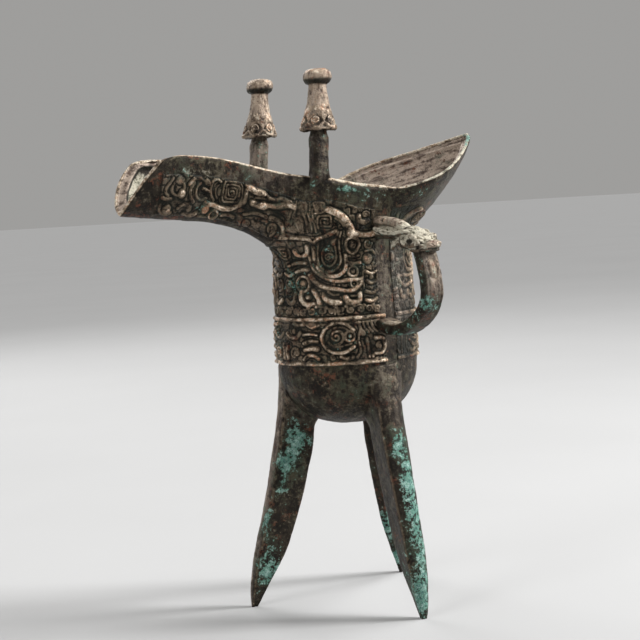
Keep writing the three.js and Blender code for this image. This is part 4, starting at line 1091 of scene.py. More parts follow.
VESSEL_EARTH = [
    ((-45, -13, 171), (14, 6, 4), 0.3), ((0, -26.5, 130), (4.5, 3, 16), 0.3), ((2, -26, 92), (6, 4, 6), 0.12),
]


def dress_vessel(thing, points, deep, first_in, first_arc):
    """Weathering of the wall. Deep is how far each point of the inner wall is from the rim."""
    x, y, z = points.T
    within, lip = np.zeros(len(points)), np.zeros(len(points))
    within[1] = 1
    within[first_in:first_arc] = 1
    lip[first_arc:] = 1.3
    outside = 1 - within
    near_rim = smooth(7, 0, hull_at(x, 0)[1] - z)
    near_lip = lip * smooth(6, 20, x) * smooth(6, -2, y)
    tail, spout = smooth(8, 26, x), smooth(-30, -78, x)
    # In the spout's mouth: the band, the step under it and the wall behind them
    front = within * smooth(-56, -72, x)
    band = front * smooth(LIP_BAND + 0.3, LIP_BAND - 0.5, deep)
    # Painted shadow line along the step under the band: carved with no relief, so it takes the dark ground tone and no
    # bloom
    step = front * bell(deep - LIP_BAND - 0.3, 0.55)
    behind = front * (1 - band) * (1 - step)
    # Green spots, and painted shade inside the mouth: greener and darker towards the top, under the band
    green = spots(points, VESSEL_GREEN) + 0.3 * within * spout * (1 - front) + 0.5 * behind * smooth(170, 176, z)
    green += near_lip * (0.45 + 0.3 * smooth(44, 56, x))
    # Pale bloom on the lip and inside the mouth; inside, it thins towards the top as painted shade
    chalky = behind * (0.25 + 0.9 * smooth(177, 170, z)) + lip * 0.35 + near_lip * 0.35
    chalky += spots(points, VESSEL_PALE) + 0.15 * near_rim * outside
    # Earth, strongest inside the tail, where its pale dry streaks are also painted light on the lit inside
    earthy = within * (1.5 * tail + 0.5 * (1 - tail) * (1 - spout)) + 1.2 * band * (1 - step)
    earthy += spots(points, VESSEL_EARTH)
    # Streaks run upright outside, along the rim inside the tail, and nowhere else inside
    along_rim = np.stack([x * 0.35, deep, 0 * x], 1)
    in_tail = (within * smooth(14, 34, x))[:, None]
    inside_grain = points * (1 - in_tail) + along_rim * in_tail
    grain = np.where(within[:, None] > 0, inside_grain, points * UPRIGHT_GRAIN)
    # The step's carved mark paints its shadow line dark
    dress(thing, grain, relief=lip + near_rim * 0.35 * outside, carved=np.minimum(lip, 1) + step, verdigris=green,
          pale=chalky, earth=np.clip(earthy, 0, 1.6))


def build_vessel():
    """Cup, spout and tail as one smooth wall with a rounded lip."""
    rows = sizes().rows
    outer_rim = rim_line(0)
    even = resample(outer_rim, sizes().columns)
    angles = np.arctan2(even[:, 1], even[:, 0])
    angles[0], angles[-1] = 0, np.pi
    outer = wall_columns(angles, outer_rim, 0, rows, OUTER_GATHER)
    inner = wall_columns(angles, rim_line(WALL), WALL, rows * 11 // 12, INNER_GATHER)
    inner, to_rim = raise_band(inner)
    arcs = lip_arcs(outer[:, -1], inner[:, -1])
    # The first point of every column is the pole of the bottom
    outside, inside = outer[:, 1:], inner[:, 1:]
    faces, first_in, first_arc = vessel_faces(len(outer), outside.shape[1], inside.shape[1])
    points = np.concatenate([outer[0, :1], inner[0, :1], outside.reshape(-1, 3), inside.reshape(-1, 3), *arcs])
    thing = to_mesh("vessel", points, faces)
    weather(thing, sizes().skin, 7.0, 1)
    weather(thing, sizes().skin * 0.5, 1.6, 2)
    deep = np.full(len(points), FAR)
    deep[first_in:first_arc] = to_rim[:, 1:].ravel()
    dress_vessel(thing, points, deep, first_in, first_arc)
    return thing


# Place, reach along each axis and strength of each spot
FRIEZE_GREEN = [
    ((-22, -16, 139), (6, 8, 6), 0.6), ((-27, -6, 128), (6, 8, 10), 0.5), ((-12, -24, 105), (8, 6, 4), 0.35),
    ((-68, -10, 160), (5, 5, 3), 0.9), ((-36, -12, 150), (6, 6, 4), 0.4), ((24, 12, 130), (8, 10, 10), 0.7),
    ((-10, 25, 126), (8, 6, 8), 0.7), ((-26, 8, 108), (6, 8, 6), 0.5), ((14, 24, 104), (8, 6, 5), 0.6),
]


SHEET_LIFT, SHEET_DEPTH, BORDER_SINK = 0.07, 0.8, 0.4


def relief_piece(name, ground, normals, height, edge, back_rows, flip, seed):
    """A closed sheet of ornament over a grid of ground points, with its borders sunk into the wall. Edge is how far
    each point is from the sheet's border."""
    rows = np.linspace(0, ground.shape[1] - 1, back_rows).astype(int)
    # Wear, worked out at every third point
    coarse = ground[::3, ::3]
    worn = rough(coarse.reshape(-1, 3), 5.5, seed, 2).reshape(coarse.shape[:2])
    worn = np.repeat(np.repeat(worn, 3, 0), 3, 1)[:ground.shape[0], :ground.shape[1]]
    for axis in (0, 1):
        worn = (np.roll(worn, 1, axis) + worn + np.roll(worn, -1, axis)) / 3
    height = height * sizes().relief * np.clip(0.92 + 0.5 * worn, 0.45, 1.15) * smooth(0, 0.7, edge)
    lifted = height + SHEET_LIFT - BORDER_SINK * (1 - smooth(0, 0.5, edge))
    front = ground + normals * lifted[..., None]
    back = ground[:, rows] - normals[:, rows] * SHEET_DEPTH
    points, faces = patch_solid(front, back)
    if flip:
        faces = [face[::-1] for face in faces]
    thing = to_mesh(name, points, faces)
    raised = np.zeros(len(points))
    raised[:height.size] = np.clip(height, 0, 1.4).ravel()
    weather(thing, 0.11, 1.5, seed)
    # Dust behind the handle
    dusty = spots(points, [((9, -25, 130), (6, 6, 16), 0.7)])
    earthy = 0.25 * smooth(-0.1, 0.5, rough(points, 16, seed + 9, 1)) + dusty
    dress(thing, relief=raised, carved=1.0, verdigris=0.18 + spots(points, FRIEZE_GREEN), earth=earthy,
          pale=dusty * 0.5)
    return thing


def cup_frieze(name, carving, low, top_at, start, end):
    """A carved band round the cup, between two angles in degrees."""
    step = sizes().weave
    sweep = math.radians(end - start)
    across = int(sweep * FRIEZE_RADIUS / step)
    angle = math.radians(start) + sweep * np.linspace(0, 1, across)
    top = top_at(angle)
    up = int((top.max() - low) / step)
    share = np.linspace(0, 1, up)
    z = low + (top[:, None] - low) * share
    grid_angle = np.repeat(angle[:, None], up, 1)
    r = wall_radius(grid_angle, z)
    ground = np.stack([r * np.cos(grid_angle), r * np.sin(grid_angle), z], -1)
    normals = grid_normals(ground)
    # Distance round from the handle, mirrored at the spout and the tail, and less relief beside the handle
    turn = (grid_angle + math.pi / 2) % (2 * math.pi)
    reach = np.minimum(turn, 2 * math.pi - turn) * QUARTER / (math.pi / 2)
    reach = np.where(reach > QUARTER, 2 * QUARTER - reach, reach)
    height = carving.read(*warped(reach, z, 0.22)) * (1 - 0.55 * smooth(0.8, 0.5, turn))
    side = np.minimum(np.arange(across), np.arange(across)[::-1]) * step
    edge = np.minimum(side[:, None], np.minimum(z - low, top[:, None] - z))
    return relief_piece(name, ground, normals, height, edge, 12, False, 3)


def warped(u, v, amount):
    """Shifts a flat grid a little, so that drawn lines waver as if cut by hand."""
    wave = lambda a, b, k: np.sin(a * 0.47 + k) * np.cos(b * 0.41 - k) + 0.5 * np.sin(a * 0.9 - b * 0.7 + 2 * k)
    return u + amount * wave(u, v, 0.4), v + amount * wave(v, u, 2.1)


def upper_top(angle):
    """Height at which the upper frieze ends: the flare of the mouth, or its border."""
    toward_spout = smooth(0.1, 0.8, -np.cos(angle))
    limit = FRIEZE_TOP + 0.6 + 4.6 * toward_spout + 1.5 * smooth(0.2, 0.9, np.cos(angle))
    z = np.full(angle.shape, UPPER_LOW + 12.0)
    # Upwards in small steps until the wall has flared out too far
    stride, most_flare = 0.4, 7
    for _ in range(110):
        swell = along(WALL_STATIONS, z, 1)
        cup = 1 / np.hypot(np.cos(angle) / (CUP_LENGTH * swell), np.sin(angle) / (CUP_WIDTH * swell))
        flared = wall_radius(angle, z) - cup
        z = np.where((flared < most_flare) & (z < limit), z + stride, z)
    reach = 7
    kernel = np.ones(2 * reach + 1) / (2 * reach + 1)
    return np.convolve(np.pad(z, reach, mode="edge"), kernel, "valid")


def spout_frieze(name, side, carving):
    """A carved panel on one side of the spout."""
    step = sizes().weave * 0.9
    start, end, top_share = 18.5, 84.5, 0.735
    across, up = int((end - start) / step), int(SPOUT_TALL * 0.68 / step)
    s = np.linspace(start, end, across)
    low = 0.055 + 0.24 * (1 - smooth(22, 38, s))
    share = low[:, None] + (top_share - low[:, None]) * np.linspace(0, 1, up)
    half, rim, keel = hull_at(-s, 0)
    y = half[:, None] * np.maximum(1 - (1 - share) ** SPOUT_ROUND, 0) ** (1 / SPOUT_ROUND)
    z = keel[:, None] + (rim - keel)[:, None] * share
    x = np.repeat(-s[:, None], up, 1)
    y = y - np.minimum(wall_field(x, y, z, 0), 0) * 0.8
    ground = np.stack([x, side * y, z], -1)
    normals = grid_normals(ground)
    normals *= np.sign(normals[..., 1].mean() * side)
    height = carving.read(*warped(np.repeat(s[:, None], up, 1), share * SPOUT_TALL, 0.2))
    along_s = np.minimum(s - start, end - s)[:, None]
    along_share = np.minimum(share - low[:, None], top_share - share) * SPOUT_TALL
    edge = np.minimum(along_s, along_share)
    return relief_piece(name, ground, normals, height, edge, 9, side > 0, 4)


def oval(count, half_x, half_y, power):
    """Points round a squarish oval."""
    a = np.linspace(0, 2 * np.pi, count, endpoint=False)
    c, s = np.cos(a), np.sin(a)
    return np.stack([np.sign(c) * np.abs(c) ** (2 / power) * half_x,
                     np.sign(s) * np.abs(s) ** (2 / power) * half_y], 1)


# Where each post stands and where its cap is, along X
LEANS = {"near": (-22.2, -21.3), "far": (-25.6, -23.8)}
LEAN_HEIGHT = POST_TOP - 165  # height over which a post leans
POST_POINTS = 56


def post_place(name):
    """Side of the rim, foot and head along X, and distance from the middle plane."""
    foot, head = LEANS[name]
    half = float(hull_at(foot, 0)[0])
    return (-1 if name == "near" else 1), foot, head, half - WALL / 2


def build_post(name):
    """A squarish post that straddles the rim and runs down the outside of the wall."""
    side, foot, head, y = post_place(name)
    rim = float(hull_at(foot, 0)[1])
    # Height, half width, half depth, outward shift
    stations = [(rim - 9, 2.2, 0.4, -1.6), (rim - 7, 3.0, 0.6, -1.5), (rim - 4, 3.9, 0.9, -1.2),
                (rim - 1.5, 4.5, 1.7, -0.6), (rim + 0.3, 4.4, 2.6, -0.1), (rim + 2.0, 3.6, 3.0, 0),
                (rim + 5, 3.35, 3.0, 0), (rim + 10, 3.25, 2.95, 0), (POST_TOP - 5, 3.35, 3.05, 0),
                (POST_TOP - 2.6, 3.4, 3.05, 0), (POST_TOP - 1.5, 3.1, 2.8, 0), (POST_TOP - 0.2, 2.7, 2.6, 0),
                (POST_TOP + 3, 2.5, 2.5, 0)]
    heights = np.linspace(rim - 9, POST_TOP + 3, 100)
    hx, hy, out = (along(stations, heights, k) for k in (1, 2, 3))
    lean = foot + (head - foot) * np.clip((heights - rim) / (POST_TOP - rim), 0, 1)
    rings = []
    for z, a, b, shift, x in zip(heights, hx, hy, out, lean):
        flat = oval(POST_POINTS, a, b, 3.6)
        rings.append(np.stack([x + flat[:, 0], side * (y + shift) + flat[:, 1], np.full(POST_POINTS, z)], 1))
    points, faces = tube(np.array(rings))
    thing = to_mesh(f"post_{name}_smooth", points, faces)
    weather(thing, 0.13, 4.5, 5 + side)
    weather(thing, 0.06, 1.5, 6 + side)
    z = points[:, 2]
    # Painted highlight on the side turned to the tail: paler and greener there
    painted_highlight_side = normals_of(thing)[:, 0]
    dress(thing, verdigris=0.3 + 0.25 * smooth(rim + 6, rim - 3, z) + 0.35 * np.maximum(painted_highlight_side, 0),
          earth=0.12 if side < 0 else 0.5, pale=0.08 + 0.3 * smooth(0.2, 0.9, painted_highlight_side))
    return thing


CAP_LOBES, LOBE = 6, 6.8  # how many volutes stand round the cap, and the length round the skirt for each
CAP_RINGS, CAP_POINTS = 170, 204
SKIRT_START = 4.4  # length of the profile up to the skirt's lip, which is where the carving starts

# Radius and height over the cap's underside
CAP_PROFILE = [
    (2.5, 1.5), (4.2, 0.9), (5.9, 0.1), (6.7, 0.0), (7.0, 0.5), (6.75, 1.3), (6.1, 2.6), (5.45, 4.0), (4.9, 5.6),
    (4.5, 7.4), (4.2, 9.4), (3.95, 11.6), (3.65, 13.6), (3.45, 15.6), (3.4, 16.9), (3.75, 17.4), (4.6, 17.9),
    (5.2, 18.9), (5.4, 20.1), (5.2, 21.2), (4.6, 22.1), (3.5, 22.75), (2.0, 23.05), (0.8, 23.1), (0.04, 23.15),
]


def carve_cap():
    """A sixth of the cap's skirt, in millimetres: a volute, and the wavy ribbon of the lip under it."""
    c = Carving((-1.5, -4), (LOBE + 1.5, 32), 0.08)
    half = LOBE / 2
    c.spiral((half, 4.1), 1.75, 1.6, 0.5, width=0.9, height=1.1)
    c.boss((half, 4.1), 0.5, 1.0)
    c.line((-0.8, 2.7), (0, 3.0), (0.9, 2.4), (2.1, 1.3), (half, 1.1), (LOBE - 2.1, 1.3), (LOBE - 0.9, 2.4),
           (LOBE, 3.0), (LOBE + 0.8, 2.7), width=1.25, height=0.85)
    c.line((-1, 0.1), (LOBE + 1, 0.1), width=1.5, height=0.45)
    c.soften(2)
    return c


def build_cap(name):
    """A waisted cap with a knob: turned, with volutes under the arches of its neck."""
    side, foot, head, out = post_place(name)
    profile = curve(CAP_PROFILE, 9)
    places = np.linspace(0, len(profile) - 1, CAP_RINGS)
    radius, height = (np.interp(places, np.arange(len(profile)), profile[:, k]) for k in (0, 1))
    length = np.r_[0, np.cumsum(np.hypot(np.diff(radius), np.diff(height)))] - SKIRT_START
    a = np.linspace(0, 2 * np.pi, CAP_POINTS, endpoint=False)
    lobe = (a / (2 * np.pi) * CAP_LOBES + (0.72 if side < 0 else 0.8)) % 1
    grid = np.ones((CAP_RINGS, CAP_POINTS))
    relief = carve_cap().read(grid * lobe * LOBE, grid * length[:, None])
    # The neck comes down in tongues between arches that open over the volutes
    arch = 3.0 + 3.0 * np.sin(np.pi * lobe) ** 0.8
    over = 0.75 * smooth(-0.1, 0.35, length[:, None] - arch) * smooth(12, 6.5, length)[:, None]
    relief = np.maximum(relief, over) * smooth(-0.3, 0.6, length)[:, None]
    slope = np.stack([np.gradient(height), -np.gradient(radius)], 1)
    slope /= np.linalg.norm(slope, axis=1, keepdims=True)
    # Between two volutes the skirt draws in and its lip rises
    gap = 0.5 + np.cos(lobe * 2 * np.pi)[None] * 0.5
    skirt = smooth(6.5, 1.0, length)[:, None]
    lip = smooth(3.2, 0.6, np.abs(length - 0.6))[:, None]
    r = radius[:, None] * (1 - 0.035 * gap * skirt) + slope[:, :1] * (relief * 0.8 - 0.3 * skirt)
    z = height[:, None] + slope[:, 1:] * relief * 0.6 + 0.35 * gap ** 1.5 * lip
    knob = smooth(19.5, 21.5, length)[:, None] * smooth(0.3, 3, radius)[:, None]
    r = np.maximum(r * (1 + 0.018 * knob * np.cos(a * 5 + 1)[None]), 0.03)
    tilt = (head - foot) / LEAN_HEIGHT
    rings = np.stack([r * np.cos(a) + tilt * z, r * np.sin(a), z], -1)
    points, faces = tube(rings)
    scale = 1.0 if side < 0 else 0.97
    place = points * np.array([scale, scale, 1]) + np.array([head, side * out, POST_TOP + SEAM])
    thing = to_mesh(f"cap_{name}_carved", place, faces)
    weather(thing, 0.16, 2.6, 8 + side)
    weather(thing, 0.08, 0.9, 9 + side)
    top = points[:, 2]
    # Painted shade on the lower half of the knob and the neck just under it: there the dark ground tone shows, with
    # little bloom or earth
    under = smooth(20.3, 18.3, top) * smooth(16.8, 17.6, top)
    proud = 0.3 + np.clip(relief, 0, 1.2).ravel() * 0.85 + 0.5 * smooth(6, 9, top) + 0.3 * smooth(20.5, 22, top)
    dress(thing, relief=proud * (1 - 0.8 * under), carved=0.9, verdigris=0.2,
          pale=(0.2 + 0.2 * (side > 0)) * (1 - under), earth=(0.5 + 0.6 * smooth(6, 12, top)) * (1 - under))
    return thing


def strap_line():
    """The strap's middle line, from inside the wall round the belly and up into the jaw, with the size there."""
    root = CUP_WIDTH * float(along(WALL_STATIONS, STRAP_ROOT, 1))
    out = STRAP_REACH - root
    return curve([
        (root - 2.5, STRAP_ROOT + 2.6, 1.45), (root + 1.5, STRAP_ROOT + 1.9, 1.3),
        (root + out * 0.28, STRAP_ROOT + 0.7, 1.08), (root + out * 0.56, STRAP_ROOT + 2.0, 1.0),
        (root + out * 0.82, STRAP_ROOT + 6.2, 1.0), (root + out * 0.98, STRAP_BELLY - 5, 1.0),
        (STRAP_REACH, STRAP_BELLY + 1, 1.0), (STRAP_REACH - 1.7, STRAP_BELLY + (JAW - STRAP_BELLY) * 0.62, 1.06),
        (STRAP_REACH - 3.9, JAW + 1, 1.12),
    ], 8)


def build_strap(material):
    """The handle's strap: a rounded section swept along its line by nodes."""
    line = strap_line()
    data = bpy.data.curves.new("strap_line", "CURVE")
    data.dimensions = "3D"
    spline = data.splines.new("POLY")
    spline.points.add(len(line) - 1)
    for point, (r, z, size) in zip(spline.points, line):
        point.co = (*((np.array([0, -r, z]) + AXIS) * MM), 1)
        point.radius = size
    source = show("strap_line", data)
    thing = show("handle_strap_swept", bpy.data.meshes.new("handle_strap_swept"))
    t = Tree("sweep_strap")
    t.input("Width", "NodeSocketFloat", STRAP_WIDTH * MM)
    t.input("Thickness", "NodeSocketFloat", STRAP_THICK * MM)
    t.input("Corner", "NodeSocketFloat", 1.5 * MM)
    t.input("Steps", "NodeSocketInt", 170)
    t.begin()
    path = t.node("GeometryNodeObjectInfo", {"transform_space": "ORIGINAL"})
    path.inputs["Object"].default_value = source
    even = t.node("GeometryNodeResampleCurve", Curve=path.outputs["Geometry"], Count=t.given("Steps"))
    level = t.node("GeometryNodeSetCurveNormal", {"mode": "FREE"}, Curve=even.outputs[0], Normal=(1, 0, 0))
    section = t.node("GeometryNodeCurvePrimitiveQuadrilateral", Width=t.given("Width"), Height=t.given("Thickness"))
    round_section = t.node("GeometryNodeFilletCurve", {"mode": "POLY"}, Curve=section.outputs[0],
                           Radius=t.given("Corner"), Count=7)
    dense = t.node("GeometryNodeResampleCurve", {"mode": "COUNT"}, Curve=round_section.outputs[0], Count=84)
    swept = t.node("GeometryNodeCurveToMesh", Curve=level.outputs[0], Profile_Curve=dense.outputs[0],
                   Fill_Caps=True)
    t.finish(thing, swept.outputs[0], material)
    bpy.data.objects.remove(source)
    # A hooked groove and two ribs on the outer face
    points, normals = points_of(thing), normals_of(thing)
    x, _, z = points.T
    outer = smooth(0.3, 0.8, -normals[:, 1]) * smooth(117, 121, z)
    groove = np.hypot(x / 1.9, (z - 133.5) / 3.4) - 1
    press = -0.5 * bell(groove, 0.28) * outer
    press -= 0.35 * bell(np.abs(x) - 2.7, 0.4) * outer * smooth(131, 128, z)
    set_points(thing, points + normals * press[:, None])
    weather(thing, 0.17, 5.0, 11)
    weather(thing, 0.06, 1.6, 13)
    green = spots(points, [((0, -58, 120), (8, 5, 5), 0.75), ((-4, -50, 130), (1.6, 5, 12), 0.75),
                           ((0, -38, 108), (8, 12, 3), 0.8)])
    # Painted light on faces turned up: tan and pale on the root's upper face, and less green on every face turned up
    painted_top_light = smooth(0.2, 0.8, normals[:, 2])
    root = painted_top_light * spots(points, [((0, -38, 113), (8, 12, 5), 1.3)])
    tan = spots(points, [((1, -55, 132), (3.5, 4, 9), 0.9)]) + root
    # Moss, and painted shade on the side turned to the spout: greener, with less earth
    flank = smooth(-0.3, -0.8, normals[:, 0])
    dress(thing, relief=tan * 1.1, carved=np.clip(tan, 0, 1), pale=tan * 0.45 + root * 0.15,
          verdigris=green * (1 - painted_top_light * 0.8) + 0.1 + 0.3 * flank,
          earth=(0.25 * smooth(118, 126, z) + tan * 0.5) * (1 - 0.8 * flank))
    return thing


def blob(build, centre, radii, turn=(0, 0, 0), detail=4):
    """An ellipsoid added to a mesh that is being built."""
    placed = Matrix.Translation(centre) @ Matrix.Rotation(turn[2], 4, "Z") @ Matrix.Rotation(turn[1], 4, "Y")
    placed = placed @ Matrix.Rotation(turn[0], 4, "X") @ Matrix.Diagonal((*radii, 1))
    bmesh.ops.create_icosphere(build, subdivisions=detail, radius=1, matrix=placed)


def chain(build, points, radii, steps=10):
    """A row of overlapping balls along a rounded line, which the later remesh fuses."""
    line = curve([(*p, r) for p, r in zip(points, radii)], steps)
    for *centre, radius in line.tolist():
        blob(build, centre, (radius, radius, radius), detail=2)


def fuse(name, build, voxel, passes):
    """Melts what was built into one skin and smooths it."""
    mesh = bpy.data.meshes.new(name)
    build.to_mesh(mesh)
    build.free()
    thing = show(name, mesh)
    remesh = thing.modifiers.new("melt", "REMESH")
    remesh.mode = "VOXEL"
    remesh.voxel_size = voxel
    relax = thing.modifiers.new("relax", "SMOOTH")
    relax.iterations = passes
    relax.factor = 0.5
    settle(thing)
    # Up to here the mesh is in millimetres about the cup's axis
    set_points(thing, vectors_of(thing, "co"))
    return thing


def mould_head():
    """Neck, skull, muzzle, horns and ears melted into one skin."""
    b = bmesh.new()
    # Crest from the wall over the neck, and the neck under it
    for y, z in curve([(-24, 151.8), (-30, 151.4), (-34, 150.9), (-38, 150.1), (-42, 148.2)], 4):
        blob(b, (0, y, z), (3.0, 2.6, 1.95), detail=3)
    chain(b, [(0, -23.5, 148.0), (0, -29, 147.8), (0, -36, 147.4), (0, -42, 146.2)], (3.0, 3.1, 3.2, 3.6))
    # Skull, muzzle and the knob of the nose
    blob(b, (0, -46.9, 145.1), (5.1, 6.1, 4.3), (0.25, 0, 0))
    blob(b, (0, -51.0, 143.9), (4.6, 4.3, 3.6), (0.5, 0, 0))
    blob(b, (0, -55.6, 142.0), (3.5, 3.6, 2.4), (0.1, 0, 0))
    blob(b, (0, -57.7, 142.0), (3.1, 2.3, 1.9))
    for side in (-1, 1):
        blob(b, (side * 1.7, -58.5, 142.7), (1.4, 1.2, 1.0))
        blob(b, (side * 3.4, -54.2, 142.6), (1.7, 2.4, 2.0))
        blob(b, (side * 4.7, -51.0, 143.9), (1.6, 2.9, 2.5))
        blob(b, (side * 3.7, -46.6, 143.9), (2.2, 4.6, 3.1), (0.15, 0, 0))
        # Brow over the eye, cheek under it
        chain(b, [(side * 2.4, -54.6, 144.6), (side * 3.8, -52.2, 146.0), (side * 4.6, -49.0, 147.0),
                  (side * 4.6, -46.5, 147.3)], (0.5, 0.6, 0.85, 1.0))
        chain(b, [(side * 2.6, -57.6, 140.9), (side * 4.0, -54.4, 140.5), (side * 4.3, -51.0, 140.8),
                  (side * 4.3, -47.6, 142.3)], (0.7, 0.95, 1.0, 0.9))
        # Horn: from the brow back along the neck, with its tip curled on the wall
        chain(b, [(side * 4.6, -46.5, 147.3), (side * 5.4, -42.6, 146.8), (side * 5.8, -38.4, 147.0),
                  (side * 5.4, -33.4, 147.8), (side * 4.4, -29.0, 148.8)], (1.0, 1.2, 1.15, 1.1, 1.0))
        # Ear: a small leaf that hangs behind the eye
        chain(b, [(side * 4.6, -44.2, 144.8), (side * 6.2, -42.8, 143.0), (side * 6.6, -42.2, 141.4)], (0.9, 1.2, 0.6))
    return fuse("ox_head_carved", b, 0.25, 3)


def carve_head(x, y, z):
    """How far the skin of the head stands out or in at each point: eyes, folds, nostrils, mouth, curl and hair."""
    off_middle = np.abs(x)
    # Eyes: a deep pupil in a ring, and a line round it
    eye = np.hypot((y + 50.8) / 1.8, (z - 143.9) / 0.95)
    press = -1.4 * bell(eye, 1.1) + 0.5 * bell(eye - 2.1, 0.5) - 0.4 * bell(eye - 3.1, 0.36)
    press *= smooth(2.8, 4.2, off_middle)
    # Groove from the eye down to the lip, nostrils, mouth
    fold = (z - 145.0) + (y + 53.8) * -0.745
    fold_reach = smooth(-53.2, -54.2, y) * smooth(-58.4, -57.4, y) * smooth(1, 2.4, off_middle)
    press -= 0.4 * bell(fold, 0.4) * fold_reach
    press -= 0.4 * bell(np.hypot(off_middle - 1.9, z - 142.7), 0.6) * smooth(-58.2, -59.2, y)
    press -= 0.5 * bell(z - 140.9 - 0.05 * (y + 58), 0.3) * smooth(-52.5, -54.5, y)
    # Curl where the crest leaves the wall, and hair between the brows
    curl = np.hypot(y + 31.2, z - 151.9)
    press += smooth(1.4, 2.4, off_middle) * (0.35 * bell(curl - 1.5, 0.4) - 0.8 * bell(curl, 0.8))
    hair = smooth(147.4, 148.4, z) * smooth(4.0, 3.0, off_middle) * smooth(-42, -44, y)
    return press - 0.25 * hair * np.cos(x * 2.2 + (y + 47) * 0.5) ** 4


def build_head():
    """The ox head over the handle."""
    thing = mould_head()
    points, normals = points_of(thing), normals_of(thing)
    x, y, z = points.T
    press = carve_head(x, y, z)
    set_points(thing, points + normals * press[:, None])
    weather(thing, 0.2, 1.9, 12)
    weather(thing, 0.1, 0.8, 16)
    # Green under the jaw, and painted shade on the faces turned down, which take more green and no pale; pale on top,
    # reddish at the nose and along the crest
    jaw = smooth(141.4, 139.9, z + 0.3 * (y + 53) * smooth(-52, -48, y))
    # Painted shade on every face turned down, on top of the moss under the jaw
    under = np.maximum(jaw, smooth(-0.1, -0.6, normals[:, 2]) * 0.9)
    mossy = 0.15 + 0.45 * under + spots(points, [((-5, -38, 147), (4, 5, 2), 0.3)])
    ruddy = smooth(-57.0, -58.2, y) + smooth(-44, -38, y) * smooth(149, 150, z)
    # Painted shade in the pressed hollows: no pale or earth, so the dark ground tone shows
    painted_shade_in_hollows = smooth(-0.3, -0.75, press)
    # Relief rises on faces turned up and falls on faces turned down: painted top light and shade
    dress(thing, relief=np.clip(0.7 + press * 0.9 + 0.25 * normals[:, 2], 0, 1.3), carved=0.75, verdigris=mossy,
          pale=np.clip((1 - under) * (0.8 - 0.4 * ruddy), 0, 1) * (1 - painted_shade_in_hollows),
          earth=(0.35 + 0.9 * ruddy) * (1 - painted_shade_in_hollows) * (1 - 0.6 * under))
    return thing


FACE_POINTS = 17  # points across a leg's outer face
SIDE_HOLLOW = 0.35
LEG_TOP = 84  # height from which a leg is drawn in to the wall


def leg_rings():
    """Sections up one leg that stands in the plane of +X: a blade, broad outside and narrow inside."""
    outer_foot = FOOT_RADIUS + 1.3
    heights = np.concatenate([np.linspace(0, 4, 8)[:-1], np.linspace(4, LEG_ROOT, 120)])
    back, depth, broad, narrow = (along(LEG_STATIONS, heights, k) for k in (1, 2, 3, 4))
    depth = depth + 2.0 * smooth(4, 26, heights) * smooth(80, 58, heights)
    rings = []
    # Each section is drawn as outer face, one side, inner nose and the other side
    for z, b, d, w, n in zip(heights, back, depth, broad, narrow):
        out, inn = outer_foot - b, outer_foot - b - d
        bow = min(2.2, w * 0.22)
        corner = min(0.55, w * 0.1)
        face = [(out - bow * t ** 2, t * (w / 2 - corner * 0.2)) for t in np.linspace(-1, 1, FACE_POINTS)]
        start = out - bow - corner
        right = [(start - (start - inn - corner) * s,
                  w / 2 + (n - w) / 2 * s ** 1.25 - SIDE_HOLLOW * math.sin(math.pi * s))
                 for s in np.linspace(0, 1, 13)]
        nose = [(inn + corner * 0.35, n / 2 * 0.8), (inn, n / 2 * 0.4)]
        left = [(r, -t) for r, t in [*right, *nose][::-1]]
        rings.append([(r, t, z) for r, t in [*face, *right, *nose, (inn - 0.08, 0), *left]])
    return np.array(rings, float)


# Malachite on the handle's leg, the spout's and the tail's: place, reach along each axis and strength
LEG_GREEN = [
    ((0, -32, 66), (5, 5, 6), 1.3), ((1.6, -35, 54), (5, 5, 10), 1.4), ((1.2, -38, 38), (5, 5, 14), 1.35),
    ((0.8, -41, 14), (4.6, 5, 16), 1.25), ((5.5, -30, 80), (1.4, 4, 10), 1.2), ((-2, -42, 6), (3, 4, 6), 0.9),
    ((-3, -34, 16), (3, 6, 10), 0.65),
    ((-21, 8, 68), (6, 6, 8), 1.25), ((-27, 11, 55), (7, 7, 11), 1.3), ((-34, 15, 38), (2.5, 5, 6), 1.15),
    ((-33, 16, 14), (6, 7, 15), 1.2), ((-20, 14, 78), (4, 6, 6), 0.5), ((-36, 22, 50), (4, 4, 14), 0.6),
    ((24, 14, 58), (5, 6, 10), 0.8), ((28, 14, 38), (4, 4, 18), 1.0), ((34, 18, 14), (5, 6, 12), 0.9),
    ((32, 22, 40), (4, 4, 20), 0.8), ((25, 14.5, 25), (3.5, 3.5, 11), 1.35), ((33, 19, 8), (3.5, 3.5, 7), 1.2),
]


